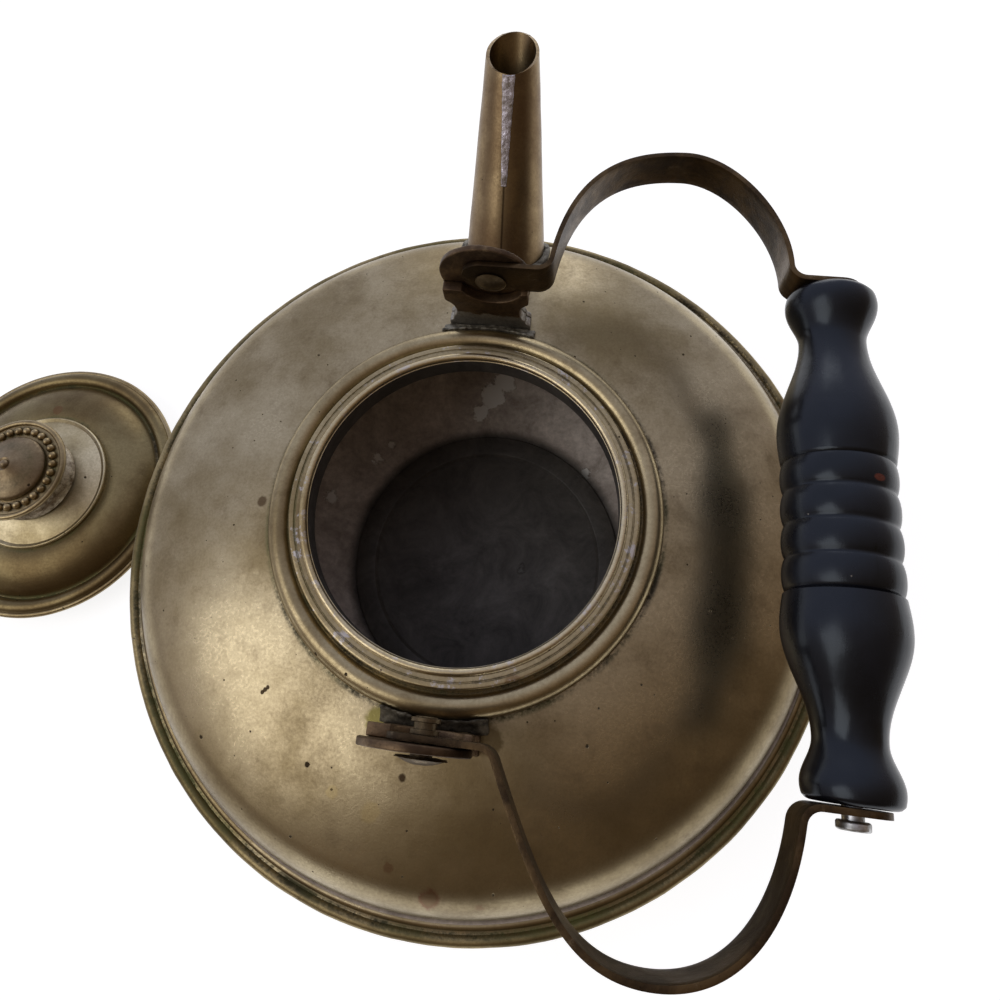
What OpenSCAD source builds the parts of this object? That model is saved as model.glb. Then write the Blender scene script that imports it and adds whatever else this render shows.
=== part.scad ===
// Squat spun-brass spirit kettle with a folding bail, a turned grip and a
// loose lid lying beside it. Millimetres. The origin is the centre of the
// base, +Z is up, +Y points along the spout and the bail lies folded on +X.

/* [Body shell] */
// Greatest radius, at the rolled rim
rim_r = 95; // [91:0.5:110]
// Height of the rim seam above the base
rim_z = 40; // [32:0.5:55]
// Sheet thickness of the spun shells
shell_t = 0.8; // [0.6:0.1:1.2]
// Radius of the rolled edge that closes the seam
roll_r = 1.5; // [1.3:0.1:2]
// Radius of the small half-round moulding beside the roll
rim_bead_r = 0.9; // [0.6:0.1:1.2]
// Width of the seam flange from the skirt to the roll's middle
flange_w = 4.5; // [4:0.1:6]
// Height of the straight skirt under the dome's shoulder
skirt_h = 2.2; // [1:0.1:4]
// Height of the neck crease above the rim seam
dome_h = 24.6; // [23:0.2:30]
// Radius of the dome's rounded shoulder
shoulder_r = 14; // [11:0.5:15]
// Slope of the dome where the shoulder starts, in degrees
shoulder_a = 24; // [22:1:30]
// Width of the gap under the lap in the rolled edge
roll_lap = 0.4; // [0.2:0.1:0.8]
// Direction of that lap round the rim, in degrees
roll_lap_a = 204; // [190:1:220]

/* [Bowl and base] */
// Radius where the lower bowl turns into the flat base
base_r = 44; // [43:0.5:50]
// Slope of the bowl where it meets the seam, in degrees
bowl_a = 72; // [66:1:76]
// Distance from the foot of the bowl to the sunken middle of the base plate
well_in = 7; // [6.4:0.1:9]
// Width of the raised step round the base plate
step_w = 4.6; // [3:0.1:5.5]

/* [Neck] */
// Radius of the filling opening
neck_r = 37.4; // [34:0.1:39]
// Thickness of the sleeve that lines the opening
sleeve_t = 1; // [0.8:0.1:1.4]
// Length of the sleeve below the lip
sleeve_h = 6.6; // [6:0.1:9]
// Radius of the rolled lip
lip_r = 0.95; // [0.7:0.05:1.2]
// Width of the flat seat that carries the lid
seat_w = 3.6; // [3:0.1:4.2]
// Height of the seat above the neck crease
seat_h = 5.2; // [4.8:0.1:7]
// Radius of the large rounded moulding of the neck
neck_bead_r = 2.8; // [2.2:0.1:3]
// Height of that moulding's middle above the crease
neck_bead_z = 1.4; // [0.8:0.1:2]
// Width of the fine groove between seat and moulding
neck_groove = 0.7; // [0.4:0.1:1]
// Width between the seat and that moulding
neck_gap = 0.35; // [0.2:0.05:0.6]

/* [Spout] */
// Distance of the spout's root from the kettle's axis
spout_y = 80.6; // [78:0.2:82]
// Height of the root above the rim seam
spout_root_h = 15.4; // [14:0.1:17]
// Slope of the spout's axis above the horizontal, in degrees
spout_a = 47; // [44:1:56]
// Length of the axis from root to mouth
spout_len = 53.8; // [45:0.2:70]
// Outer radius at the root
spout_r0 = 11.3; // [9:0.1:11.6]
// Outer radius at the mouth
spout_r1 = 7.1; // [6:0.1:8.5]
// Wall of the spout
spout_t = 0.9; // [0.7:0.1:1.2]
// Tilt of the mouth's cut from level, in degrees
mouth_tilt = 7; // [0:1:15]
// Width of the solder along the spout's seam at the mouth
seam_w = 3.8; // [2.6:0.1:4.4]
// Width of that solder at its lower end
seam_tip = 1.5; // [1:0.1:2]
// Height of that solder above the spout
seam_h = 0.35; // [0.2:0.05:0.6]
// Length of that solder along the spout's axis
seam_len = 34; // [28:0.2:38]
// Reach of the solder collar round the root
root_w = 1.8; // [1:0.1:2.4]
// Thickness of that collar
root_t = 1; // [0.6:0.1:1.4]

/* [Brackets] */
// Height of the bail's pivots above the rim seam
pivot_h = 46; // [44.5:0.5:52]
// Distance of the pivots from the kettle's axis plane, towards the grip
pivot_x = 1.6; // [0:0.1:2.4]
// Distance from the neck crease to the inner face of the strap
strap_off = 3.3; // [3.2:0.1:6]
// Radius of the round ear
ear_r = 11.3; // [9.5:0.1:12]
// Thickness of the ear
ear_t = 1.6; // [1.2:0.1:2.4]
// Width of the bracket's foot and of its scroll tips
foot_w = 21.5; // [20.5:0.5:24]
// Radius of the hollow that forms the waist
scroll_r = 6; // [4.5:0.1:6.4]
// Distance from the waist's middle line to the hollow's centre
scroll_x = 14.2; // [13.6:0.1:15]
// Play between strap, ear and rests
strap_play = 0.3; // [0.2:0.05:0.4]
// Radius of the pivot rivets
rivet_r = 2.2; // [1.6:0.1:2.6]
// Running clearance of straps and grip on their pins
pin_play = 0.06; // [0.02:0.01:0.1]
// Radius of the front rivet's domed inner head
front_head_r = 3.9; // [3.2:0.1:5]
// Radius of the back rivet's outer head
back_head_r = 5.3; // [4:0.1:6]
// Thickness of the rivet heads
head_t = 1.4; // [1:0.1:2]

/* [Bail] */
// Width of the bail's flat straps
strap_w = 10.5; // [9:0.5:11.5]
// Thickness of the straps
strap_t = 1.2; // [1:0.1:1.6]
// Height of the strap's middle line above its holes
strap_lift = 1.9; // [0:0.1:2.2]
// Length of the strap past its pivot
strap_tail = 7; // [6.6:0.1:7.6]
// Distance from the pivots to the grip's axis
bail_reach = 80.2; // [78:0.1:92]
// Length of the straight part of the strap beside the bracket
strap_run = 11.4; // [11.2:0.1:13]
// Distance of the front bow's crest from the pivots
bow_x = 45.2; // [42:0.1:50]
// Distance of the front bow's crest from the kettle's axis plane
bow_y = 87.2; // [82:0.2:94]
// Distance of the back bow's crest from the pivots
back_bow_x = 44.3; // [42:0.1:50]
// Distance of the back bow's crest from the kettle's axis plane
back_bow_y = 84.4; // [79:0.2:92]
// Length of the strap's end past the grip's axis
tab_tail = 6.2; // [5.8:0.1:7.4]

/* [Grip] */
// Length of the turned grip
grip_len = 106.6; // [98:0.2:110]
// Greatest radius of the grip's swells
belly_r = 12.3; // [11:0.1:14]
// Radius of the beads in the middle
bead_grip_r = 11.8; // [10.5:0.1:13]
// Depth of the grooves between the beads
groove_d = 0.9; // [0.4:0.1:1.4]
// Pitch of the beads
bead_pitch = 6.9; // [5.5:0.1:7.6]
// Radius of the front waist
waist_r = 7.2; // [6:0.1:9]
// Distance of the front waist from the grip's end
waist_in = 12.3; // [10:0.1:14]
// Radius of the back waist
back_waist_r = 6.8; // [6:0.1:8]
// Distance of the back waist from the grip's end
back_waist_in = 10.8; // [9:0.1:14]
// Radius of the front end's collar
collar_r = 10; // [8.5:0.1:12]
// Radius of the back end's collar
back_collar_r = 9.2; // [8:0.1:11]
// Distance of the beads' middle from the grip's middle
bead_shift = 1.9; // [0:0.1:3]
// Radius of the rod through the grip
rod_r = 2; // [1.6:0.1:2.3]
// Free length of the rod under its back head
rod_proud = 1; // [0.6:0.1:2]
// Radius of the rod's heads
rod_head_r = 3.1; // [2.9:0.1:4]
// Thickness of the rod's heads
rod_head_t = 1.7; // [1.2:0.1:2.4]

/* [Lid] */
// Place of the loose lid along X
lid_x = -147; // [-175:1:-146]
// Place of the loose lid along Y
lid_y = 7.3; // [-10:0.1:20]
// Clearance of the lid's collar in the opening
lid_play = 0.5; // [0.3:0.05:0.8]
// Depth of the collar below the rim
lid_collar_h = 7.4; // [5:0.1:10]
// Sheet thickness of the lid
lid_t = 0.8; // [0.6:0.1:1.2]
// Overhang of the lid's edge past the seat
lid_over = 0.3; // [0:0.1:1.5]
// Radius of the rolled edge
lid_edge_r = 0.9; // [0.7:0.05:1.1]
// Width of the raised band inside the edge
lid_band_w = 4.6; // [3.6:0.1:5.2]
// Rise of the raised band
lid_band_h = 1.7; // [1:0.1:2.2]
// Radius of the boss in the middle
boss_r = 22; // [19:0.1:24]
// Height from the groove to the foot of the boss
cushion_h = 5.6; // [4:0.1:8]
// Height of the step round the boss
boss_step = 1.3; // [0.8:0.1:2]
// Height of the boss from its step to the knob
boss_h = 3; // [2:0.1:4.5]
// Radius of the knob's stem
stem_r = 13.4; // [12:0.1:14.4]
// Height of the knob's stem
stem_h = 8.4; // [5:0.1:11]
// Radius of the knob's beaded gallery
gallery_r = 16.2; // [15.6:0.1:18]
// Thickness of the gallery's plate
gallery_t = 1.6; // [1.2:0.1:2.4]
// Number of beads in the gallery
bead_n = 28; // [24:1:28]
// Radius of the beads
bead_r = 1.3; // [1:0.05:1.35]
// Radius of the conical button
button_r = 10.2; // [8.5:0.1:11]
// Height of the button
button_h = 5.4; // [4:0.1:8]

/* [Hidden] */
$fn = 120;
eps = 0.01;

// Seam and dome outline, with the crease set by the parts of the neck
lip_x = neck_r + lip_r + 0.1;
seat_out = lip_x + seat_w;
crease_r = seat_out + neck_gap + 2 * neck_bead_r;
roll_x = rim_r - roll_r;
skirt_r = roll_x - flange_w;
flange_end = roll_x - 0.3;
edge_z = rim_z + shell_t + skirt_h;
sh_x = skirt_r - shoulder_r;
sh_top_x = sh_x + shoulder_r * sin(shoulder_a);
sh_top_z = edge_z + shoulder_r * cos(shoulder_a);
crease_z = rim_z + dome_h;
dome_mean = atan2(crease_z - sh_top_z, sh_top_x - crease_r);
dome_a0 = 2 * dome_mean - shoulder_a;
dome_rad = (sh_top_x - crease_r) / (sin(shoulder_a) - sin(dome_a0));
dome_cx = sh_top_x - dome_rad * sin(shoulder_a);
dome_cz = sh_top_z - dome_rad * cos(shoulder_a);

// Slope where the dome's sheet ends against the neck sleeve
hole_a = asin((neck_r + sleeve_t - dome_cx) / (dome_rad - shell_t));

// Bowl outline
well_r = base_r - well_in;
bowl_r = skirt_r - 1;
bowl_top = rim_z - shell_t;
bowl_mean = atan2(bowl_top, bowl_r - base_r);
bowl_a0 = 2 * bowl_mean - bowl_a;
bowl_rad = (bowl_r - base_r) / (sin(bowl_a) - sin(bowl_a0));
bowl_cx = bowl_r - bowl_rad * sin(bowl_a);
bowl_cz = bowl_top + bowl_rad * cos(bowl_a);

// Neck
sleeve_r = neck_r + sleeve_t;
seat_z = crease_z + seat_h;
neck_bead_x = crease_r - neck_bead_r;
groove_z = seat_z - 1.6;

// Spout
spout_z = rim_z + spout_root_h;
spout_taper = (spout_r0 - spout_r1) / spout_len;
spout_in = 16;
spout_out = 14;

// Pivots, brackets and bail
pivot_z = rim_z + pivot_h;
strap_y = crease_r + strap_off;
strap_mid = strap_y + strap_t / 2;
plate_in = strap_y - 1.2;
ear_y = strap_y + strap_t + strap_play;
ear_back = ear_y + ear_t;
strap_z = pivot_z + strap_lift;
rest_z = strap_z - strap_w / 2 - 0.1;
pivot_hole = rivet_r + pin_play;
tab_in = grip_len / 2 + strap_play;
tab_mid = tab_in + strap_t / 2;
bend_r = 3.4;

// Lid heights, from the surface that the lid lies on
lid_flat = lid_collar_h;
lid_r = seat_out + lid_over;
lid_edge_x = lid_r - lid_edge_r;
band_out = lid_edge_x - 0.2;
band_in = band_out - lid_band_w;
collar_out = neck_r - lid_play;
cushion_z = lid_flat + lid_t + cushion_h;
boss_z = cushion_z + boss_step;
stem_z = boss_z + boss_h;
gallery_z = stem_z + stem_h;
button_z = gallery_z + gallery_t;
bead_x = (gallery_r - 1.7 + button_r) / 2;

// Pie slice from angle a0 to a1, both measured from straight up towards +X
module pie(len, a0, a1) {
    am = (a0 + a1) / 2;
    polygon([[0, 0], [len * sin(a0), len * cos(a0)],
        [len * sin(am) * 1.2, len * cos(am) * 1.2], [len * sin(a1), len * cos(a1)]]);
}

// Band of sheet along an arc, its outer face at radius r
module band(x, z, r, t, a0, a1) {
    translate([x, z]) intersection() {
        difference() {
            circle(r, $fn = 360);
            circle(r - t, $fn = 360);
        }
        pie(2 * r, a0, a1);
    }
}

// Section under the dome's outer face, raised by off
module dome_section(off) {
    intersection() {
        translate([dome_cx, dome_cz]) circle(dome_rad + off, $fn = 360);
        polygon([[0, rim_z - 20], [sh_top_x, rim_z - 20], [sh_top_x, sh_top_z - 3],
            [sh_top_x + (dome_rad + 20) * sin(shoulder_a) * 0.12,
                sh_top_z + (dome_rad + 20) * cos(shoulder_a) * 0.12],
            [0, sh_top_z + 30]]);
    }
    intersection() {
        translate([sh_x, edge_z]) circle(shoulder_r + off);
        translate([0, edge_z]) square([skirt_r + off + 5, shoulder_r + 5]);
    }
    translate([0, rim_z - 20]) square([skirt_r + off, edge_z - rim_z + 20]);
}

// Solid that fills the kettle out to the dome's outer face
module dome_fill(off = 0) {
    rotate_extrude() dome_section(off);
}

// Places a shape on the spout's axis, with +Z towards the mouth
module on_spout() {
    translate([0, spout_y, spout_z]) rotate([spout_a - 90, 0, 0]) children();
}

// Cone along the spout, g thicker than its outer face
module spout_cone(g) {
    translate([0, 0, -spout_in])
        cylinder(h = spout_in + spout_len + spout_out,
            r1 = spout_r0 + spout_taper * spout_in + g,
            r2 = spout_r1 - spout_taper * spout_out + g);
}

// Everything beyond the mouth's cut
module mouth_cut() {
    translate([0, 0, spout_len]) rotate([90 - spout_a - mouth_tilt, 0, 0])
        translate([-20, -30, 0]) cube([40, 60, 40]);
}

// Small notch in the mouth's lip, over the seam
module mouth_notch() {
    translate([0, -spout_r1, spout_len - 5]) rotate([0, 45, 0])
        cube([1.1, 6, 1.1], center = true);
}

module body_dome() {
    color("#8a7a52") {
        difference() {
            rotate_extrude($fn = 180) band(dome_cx, dome_cz, dome_rad, shell_t, hole_a, shoulder_a);
            on_spout() spout_cone(-spout_t);
        }
        difference() {
            rotate_extrude($fn = 180) band(sh_x, edge_z, shoulder_r, shell_t, shoulder_a, 90);
            on_spout() spout_cone(-spout_t);
        }
        rotate_extrude($fn = 180) {
            translate([skirt_r - shell_t, rim_z]) square([shell_t, edge_z - rim_z]);
            translate([skirt_r - shell_t, rim_z]) square([flange_end - skirt_r + shell_t, shell_t]);
            intersection() {
                translate([(skirt_r + roll_x - roll_r) / 2, rim_z + shell_t / 2])
                    circle(rim_bead_r + shell_t / 2, $fn = 48);
                translate([skirt_r, rim_z]) square([flange_w, 4]);
            }
        }
    }
}

module body_bowl() {
    color("#84744e") rotate_extrude($fn = 180) {
        translate([0, 0]) intersection() {
            translate([bowl_cx, bowl_cz]) difference() {
                circle(bowl_rad, $fn = 360);
                circle(bowl_rad - shell_t, $fn = 360);
            }
            translate([bowl_cx, bowl_cz]) pie(2 * bowl_rad, 180 - bowl_a, 180 - bowl_a0);
        }
        translate([well_r, 0]) square([base_r - well_r, shell_t]);
        translate([bowl_r - shell_t, bowl_top]) square([flange_end - bowl_r + shell_t, shell_t]);
    }
}

module base_plate() {
    color("#6e6756") rotate_extrude() {
        square([well_r, shell_t]);
        translate([well_r - shell_t, 0]) square([shell_t, 2 * shell_t]);
        translate([well_r - shell_t, shell_t]) square([step_w + shell_t, shell_t]);
    }
}

module rim_roll() {
    color("#9a8a5a") difference() {
        rotate_extrude($fn = 180) difference() {
            translate([roll_x, rim_z]) circle(roll_r, $fn = 48);
            translate([roll_x - 3, rim_z - shell_t]) square([2.7, 2 * shell_t]);
        }
        rotate([0, 0, roll_lap_a]) translate([roll_x + 0.4, -roll_lap / 2, rim_z - 4])
            cube([8, roll_lap, 8]);
    }
}

module neck_collar() {
    color("#94845a") rotate_extrude() difference() {
        union() {
            translate([neck_bead_x, crease_z + neck_bead_z]) circle(neck_bead_r, $fn = 64);
            translate([sleeve_r, crease_z - 2])
                square([neck_bead_x - sleeve_r, neck_bead_z + neck_bead_r + 2]);
            translate([sleeve_r, crease_z - 2]) square([seat_out - sleeve_r, seat_h + 2]);
        }
        translate([seat_out, groove_z - 1]) square([neck_groove, 4]);
        translate([lip_x, seat_z]) circle(lip_r, $fn = 48);
        dome_section(0);
    }
}

module neck_lip() {
    color("#c8b478") rotate_extrude($fn = 180) difference() {
        union() {
            translate([lip_x, seat_z]) circle(lip_r, $fn = 48);
            translate([neck_r, seat_z - sleeve_h]) square([sleeve_t, sleeve_h]);
        }
        translate([0, seat_z - sleeve_h - 1]) square([neck_r, sleeve_h + 1]);
    }
}

module spout() {
    color("#8e7e58") difference() {
        on_spout() difference() {
            spout_cone(0);
            spout_cone(-spout_t);
            mouth_cut();
            mouth_notch();
        }
        dome_fill();
    }
}

module spout_seam() {
    color("#9a9a98") difference() {
        on_spout() intersection() {
            difference() {
                spout_cone(seam_h);
                spout_cone(0);
                mouth_cut();
                mouth_notch();
            }
            rotate([90, 0, 0]) linear_extrude(2 * spout_r0)
                polygon([[-seam_w / 2, spout_len], [seam_w / 2, spout_len],
                    [seam_tip / 2, spout_len - seam_len], [-seam_tip / 2, spout_len - seam_len]]);
        }
        dome_fill(3);
    }
}

module spout_root() {
    color("#7c7058") difference() {
        intersection() {
            on_spout() spout_cone(root_w);
            rotate_extrude($fn = 180) difference() {
                dome_section(root_t);
                dome_section(0);
            }
            translate([-3 * spout_r0, spout_y - 2 * spout_r0, edge_z + 0.2])
                cube([6 * spout_r0, 4 * spout_r0, 4 * spout_r0]);
        }
        on_spout() spout_cone(0);
    }
}

// Outline of a bracket seen along Y, for the plate below the ear
module bracket_outline() {
    difference() {
        translate([-foot_w / 2, crease_z - 8]) square([foot_w, rest_z - crease_z + 8]);
        for (s = [-1, 1]) translate([s * scroll_x, (rest_z + crease_z) / 2])
            circle(scroll_r, $fn = 64);
        for (s = [-1, 1]) translate([s * (foot_w / 2 + 0.6), crease_z + 4.3])
            circle(1.6, $fn = 32);
    }
}

// Sweep of the strap's tail round the pivot, kept free of the plate
module tail_sweep() {
    translate([pivot_x, pivot_z])
        circle(norm([strap_tail - strap_w / 2, strap_lift]) + strap_w / 2 + 0.4, $fn = 64);
}

module bracket() {
    difference() {
        union() {
            translate([0, ear_back, 0]) rotate([90, 0, 0]) linear_extrude(ear_t) {
                translate([0, pivot_z]) circle(ear_r);
                bracket_outline();
            }
            translate([0, ear_y, 0]) rotate([90, 0, 0])
                linear_extrude(ear_y - plate_in) difference() {
                    bracket_outline();
                    tail_sweep();
                }
        }
        dome_fill();
        translate([pivot_x, ear_back + 1, pivot_z]) rotate([90, 0, 0])
            cylinder(h = 8, r = rivet_r, $fn = 64);
    }
}

module bracket_front() {
    color("#6b5c3e") bracket();
}

module bracket_back() {
    color("#6b5c3e") mirror([0, 1, 0]) bracket();
}

// Fillet of old solder between the neck moulding and a bracket's foot
module foot_solder() {
    w = plate_in - crease_r;
    difference() {
        intersection() {
            rotate_extrude() polygon([[crease_r + 0.05, crease_z - 4], [crease_r + 2 * w, crease_z - 4],
                [crease_r + 1.5 * w, crease_z + 0.4], [crease_r + 0.6 * w, crease_z + 1.6],
                [crease_r + 0.2 * w, crease_z + 2.8], [crease_r + 0.05, crease_z + 3]]);
            translate([-foot_w / 2 - 1.4, plate_in - crease_r / 2, crease_z - 8])
                cube([foot_w + 2.8, crease_r / 2, 30]);
        }
        dome_fill();
    }
}

module foot_solder_front() {
    color("#7d7a70") foot_solder();
}

module foot_solder_back() {
    color("#7d7a70") mirror([0, 1, 0]) foot_solder();
}

// Pin along +Y from y0 to y1 through the pivot
module pin(r, y0, y1) {
    translate([pivot_x, y0, pivot_z]) rotate([-90, 0, 0]) cylinder(h = y1 - y0, r = r, $fn = 64);
}

// Low dome of radius r and height t, its flat side on y, bulging towards +Y
module low_dome(r, t, y) {
    s = (r * r + t * t) / (2 * t);
    translate([pivot_x, y, pivot_z]) rotate([-90, 0, 0]) rotate_extrude($fn = 64) intersection() {
        translate([0, t - s]) circle(s, $fn = 120);
        square([r, t]);
    }
}

module rivet_front() {
    color("#8c8570") {
        pin(rivet_r, strap_y - 0.6, ear_back + 0.4);
        translate([0, 2 * (strap_y - 0.12), 0]) mirror([0, 1, 0])
            low_dome(front_head_r, head_t, strap_y - 0.12);
        low_dome(front_head_r, head_t, ear_back);
    }
}

module rivet_back() {
    color("#5d5240") mirror([0, 1, 0]) {
        pin(rivet_r, strap_y - 3.4, ear_back + 1.6);
        pin(rivet_r + 0.7, strap_y - 3.2, strap_y - 2.3);
        pin(rivet_r + 0.7, strap_y - 1.1, strap_y - 0.12);
        low_dome(back_head_r, head_t, ear_back + 0.8);
    }
}

// Middle line of a strap, from its tail to its end on the grip
function bez(a, b, c, d, t) =
    (1 - t) * (1 - t) * (1 - t) * a + 3 * (1 - t) * (1 - t) * t * b
    + 3 * (1 - t) * t * t * c + t * t * t * d;
function strap_line(crest, rise, fall, fx, l) =
    let (b1 = [strap_run + bend_r * sin(rise), strap_mid + bend_r * (1 - cos(rise))],
        b2 = [fx, tab_mid + bend_r * (1 - cos(fall))])
    concat([[-strap_tail - 5, strap_mid]],
        [for (i = [0:5]) [strap_run + bend_r * sin(rise * i / 5),
            strap_mid + bend_r * (1 - cos(rise * i / 5))]],
        [for (i = [1:12]) bez(b1, b1 + l[0] * [cos(rise), sin(rise)], crest - [l[1], 0], crest, i / 12)],
        [for (i = [1:11]) bez(crest, crest + [l[2], 0], b2 + l[3] * [-cos(fall), sin(fall)], b2, i / 12)],
        [for (i = [0:5]) [fx + bend_r * (sin(fall) - sin(fall - fall * i / 5)),
            tab_mid + bend_r * (1 - cos(fall - fall * i / 5))]],
        [[bail_reach + tab_tail + 5, tab_mid]]);
function unit(v) = v / norm(v);
function way(line, i) = unit(line[min(i + 1, len(line) - 1)] - line[max(i - 1, 0)]);
function side(line, i, s) = line[i] + s * strap_t / 2 * [-way(line, i)[1], way(line, i)[0]];
front_line = strap_line([bow_x, bow_y], 83, 87, bail_reach - 10.3, [26.2, 14.3, 11.6, 14]);
back_line = strap_line([back_bow_x, back_bow_y], 64, 81, bail_reach - 10.6, [22.4, 14, 15, 14.8]);

module arm(line) {
    n = len(line) - 1;
    translate([pivot_x, 0, 0]) difference() {
        intersection() {
            translate([0, 0, strap_z - strap_w / 2]) linear_extrude(strap_w)
                polygon(concat([for (i = [0:n]) side(line, i, 1)],
                    [for (i = [n:-1:0]) side(line, i, -1)]));
            translate([0, bow_y + 20, 0]) rotate([90, 0, 0]) linear_extrude(bow_y) {
                translate([-strap_tail + strap_w / 2, strap_z]) circle(strap_w / 2);
                translate([bail_reach + tab_tail - strap_w / 2, strap_z]) circle(strap_w / 2);
                translate([-strap_tail + strap_w / 2, strap_z - strap_w / 2])
                    square([bail_reach + tab_tail + strap_tail - strap_w, strap_w]);
            }
        }
        translate([0, strap_y - 1, pivot_z]) rotate([-90, 0, 0])
            cylinder(h = strap_t + 2, r = pivot_hole, $fn = 64);
        translate([bail_reach, tab_in - 1, pivot_z]) rotate([-90, 0, 0])
            cylinder(h = strap_t + 2, r = rod_r, $fn = 64);
    }
}

module arm_front() {
    color("#5a4a38") arm(front_line);
}

module arm_back() {
    color("#5a4a38") mirror([0, 1, 0]) arm(back_line);
}

module grip_rod() {
    color("#8f8f8c") translate([pivot_x + bail_reach, 0, pivot_z]) rotate([90, 0, 0])
        translate([0, 0, -tab_in - strap_t])
            cylinder(h = 2 * tab_in + 2 * strap_t + rod_proud, r = rod_r, $fn = 64);
}

module rod_head_front() {
    color("#6a5f4c") translate([bail_reach, 0, 0])
        low_dome(rod_head_r - 0.2, rod_head_t - 0.6, tab_in + strap_t);
}

module rod_head_back() {
    color("#a9aaa8") translate([bail_reach, 0, 0]) mirror([0, 1, 0])
        translate([pivot_x, tab_in + strap_t + rod_proud, pivot_z]) rotate([-90, 0, 0])
            rotate_extrude($fn = 64) {
                square([rod_head_r - 0.5, rod_head_t]);
                translate([0, 0.5]) square([rod_head_r, rod_head_t - 1]);
                for (z = [0.5, rod_head_t - 0.5]) translate([rod_head_r - 0.5, z]) circle(0.5, $fn = 32);
            }
}

// Radius of the grip at y, measured from the middle of the beads. The other
// values are the half's waist and collar: place and radius of each.
function ease(a, b, t) = a + (b - a) * (1 - cos(180 * min(1, max(0, t)))) / 2;
half_beads = 2 * bead_pitch;
belly_y = half_beads + 6.5;
collar_in = 2.9;
function grip_rad(y, wy, wr, cy, cr) =
    y < half_beads ? bead_grip_r - groove_d + groove_d * sqrt(abs(sin(180 * (y + half_beads) / bead_pitch)))
    : y < belly_y ? ease(bead_grip_r - groove_d, belly_r,
        0.5 + (y - half_beads) / (2 * belly_y - 2 * half_beads))
    : y < wy ? ease(belly_r, wr, (y - belly_y) / (wy - belly_y))
    : y < cy ? ease(wr, cr, (y - wy) / (cy - wy))
    : cr - 0.08 * pow(y - cy, 2);
function front_rad(y) = grip_rad(y + bead_shift, grip_len / 2 - waist_in + bead_shift, waist_r,
    grip_len / 2 - collar_in + bead_shift, collar_r);
function back_rad(y) = grip_rad(y - bead_shift, grip_len / 2 - back_waist_in - bead_shift, back_waist_r,
    grip_len / 2 - collar_in - bead_shift, back_collar_r);
grip_outline = concat(
    [for (y = [-grip_len / 2:0.8:grip_len / 2]) [y < -bead_shift ? back_rad(-y) : front_rad(y), y]],
    [[front_rad(grip_len / 2), grip_len / 2]]);

module grip() {
    color("#1c1c1e") translate([pivot_x + bail_reach, 0, pivot_z]) rotate([-90, 0, 0])
        difference() {
            rotate_extrude() polygon(concat([[0, -grip_len / 2]], grip_outline, [[0, grip_len / 2]]));
            translate([0, 0, -grip_len]) cylinder(h = 2 * grip_len, r = rod_r + pin_play, $fn = 64);
        }
}

// Puts the lid's own axis where the lid lies
module at_lid() {
    translate([lid_x, lid_y, 0]) children();
}

// Arc of the cushion between groove and boss, given by its chord
cush_x0 = band_in - 0.6;
cush_z0 = lid_flat + lid_t;
cush_mean = atan2(cushion_z - cush_z0, cush_x0 - boss_r);
cush_a1 = 52;
cush_a0 = 2 * cush_mean - cush_a1;
cush_rad = (cush_x0 - boss_r) / (sin(cush_a1) - sin(cush_a0));
cush_cx = cush_x0 - cush_rad * sin(cush_a1);
cush_cz = cush_z0 - cush_rad * cos(cush_a1);
band_mid = (band_in + band_out) / 2;
band_rad = (lid_band_w * lid_band_w / 4 + lid_band_h * lid_band_h) / (2 * lid_band_h);

module lid_shell() {
    color("#8a7b52") at_lid() rotate_extrude($fn = 120) difference() {
        union() {
            band(cush_cx, cush_cz, cush_rad, lid_t, cush_a0, cush_a1);
            translate([cush_x0 - lid_t, lid_flat]) square([lid_edge_x - cush_x0 + lid_t, lid_t]);
            intersection() {
                translate([band_mid, lid_flat + lid_t + lid_band_h - band_rad]) circle(band_rad, $fn = 96);
                translate([band_in, lid_flat]) square([lid_band_w, lid_band_h + 2]);
            }
            translate([4, cushion_z - lid_t]) square([boss_r - 4, lid_t]);
        }
        translate([lid_edge_x, lid_flat + lid_t / 2]) circle(lid_edge_r + 0.05, $fn = 48);
    }
}

module lid_edge() {
    color("#a08e5c") at_lid() difference() {
        rotate_extrude() translate([lid_edge_x, lid_flat + lid_t / 2]) circle(lid_edge_r, $fn = 48);
        rotate([0, 0, -64]) translate([lid_edge_x + 0.5, -roll_lap / 2, 0]) cube([4, roll_lap, 20]);
    }
}

module lid_collar() {
    color("#7e745c") at_lid() rotate_extrude() {
        translate([collar_out - lid_t, 0]) square([lid_t, lid_flat]);
        translate([collar_out - 3, lid_flat - lid_t]) square([3, lid_t]);
    }
}

module lid_boss() {
    color("#97875a") at_lid() rotate_extrude() {
        translate([4, cushion_z]) square([boss_r - 4, boss_step]);
        translate([4, boss_z]) intersection() {
            square([boss_r - 4.4, boss_h]);
            translate([0, boss_h - 60]) circle(60, $fn = 360);
        }
    }
}

module knob_stem() {
    color("#8f8a86") at_lid() rotate_extrude() difference() {
        translate([4, stem_z]) square([stem_r - 4, stem_h]);
        translate([stem_r + 3.2, stem_z + stem_h / 2 + 0.6]) circle(5, $fn = 64);
    }
}

module knob_gallery() {
    color("#a39058") at_lid() {
        difference() {
            rotate_extrude() difference() {
                union() {
                    translate([4, gallery_z]) square([gallery_r - 4.6, gallery_t]);
                    translate([gallery_r - 0.8, gallery_z + gallery_t / 2]) circle(gallery_t / 2, $fn = 32);
                }
                translate([button_r, gallery_z + gallery_t - 0.7]) square([gallery_r - 1.7 - button_r, 2]);
            }
        }
        for (i = [0:bead_n - 1]) rotate([0, 0, i * 360 / bead_n])
            translate([bead_x, 0, gallery_z + gallery_t - 0.3]) sphere(bead_r, $fn = 24);
    }
}

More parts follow.
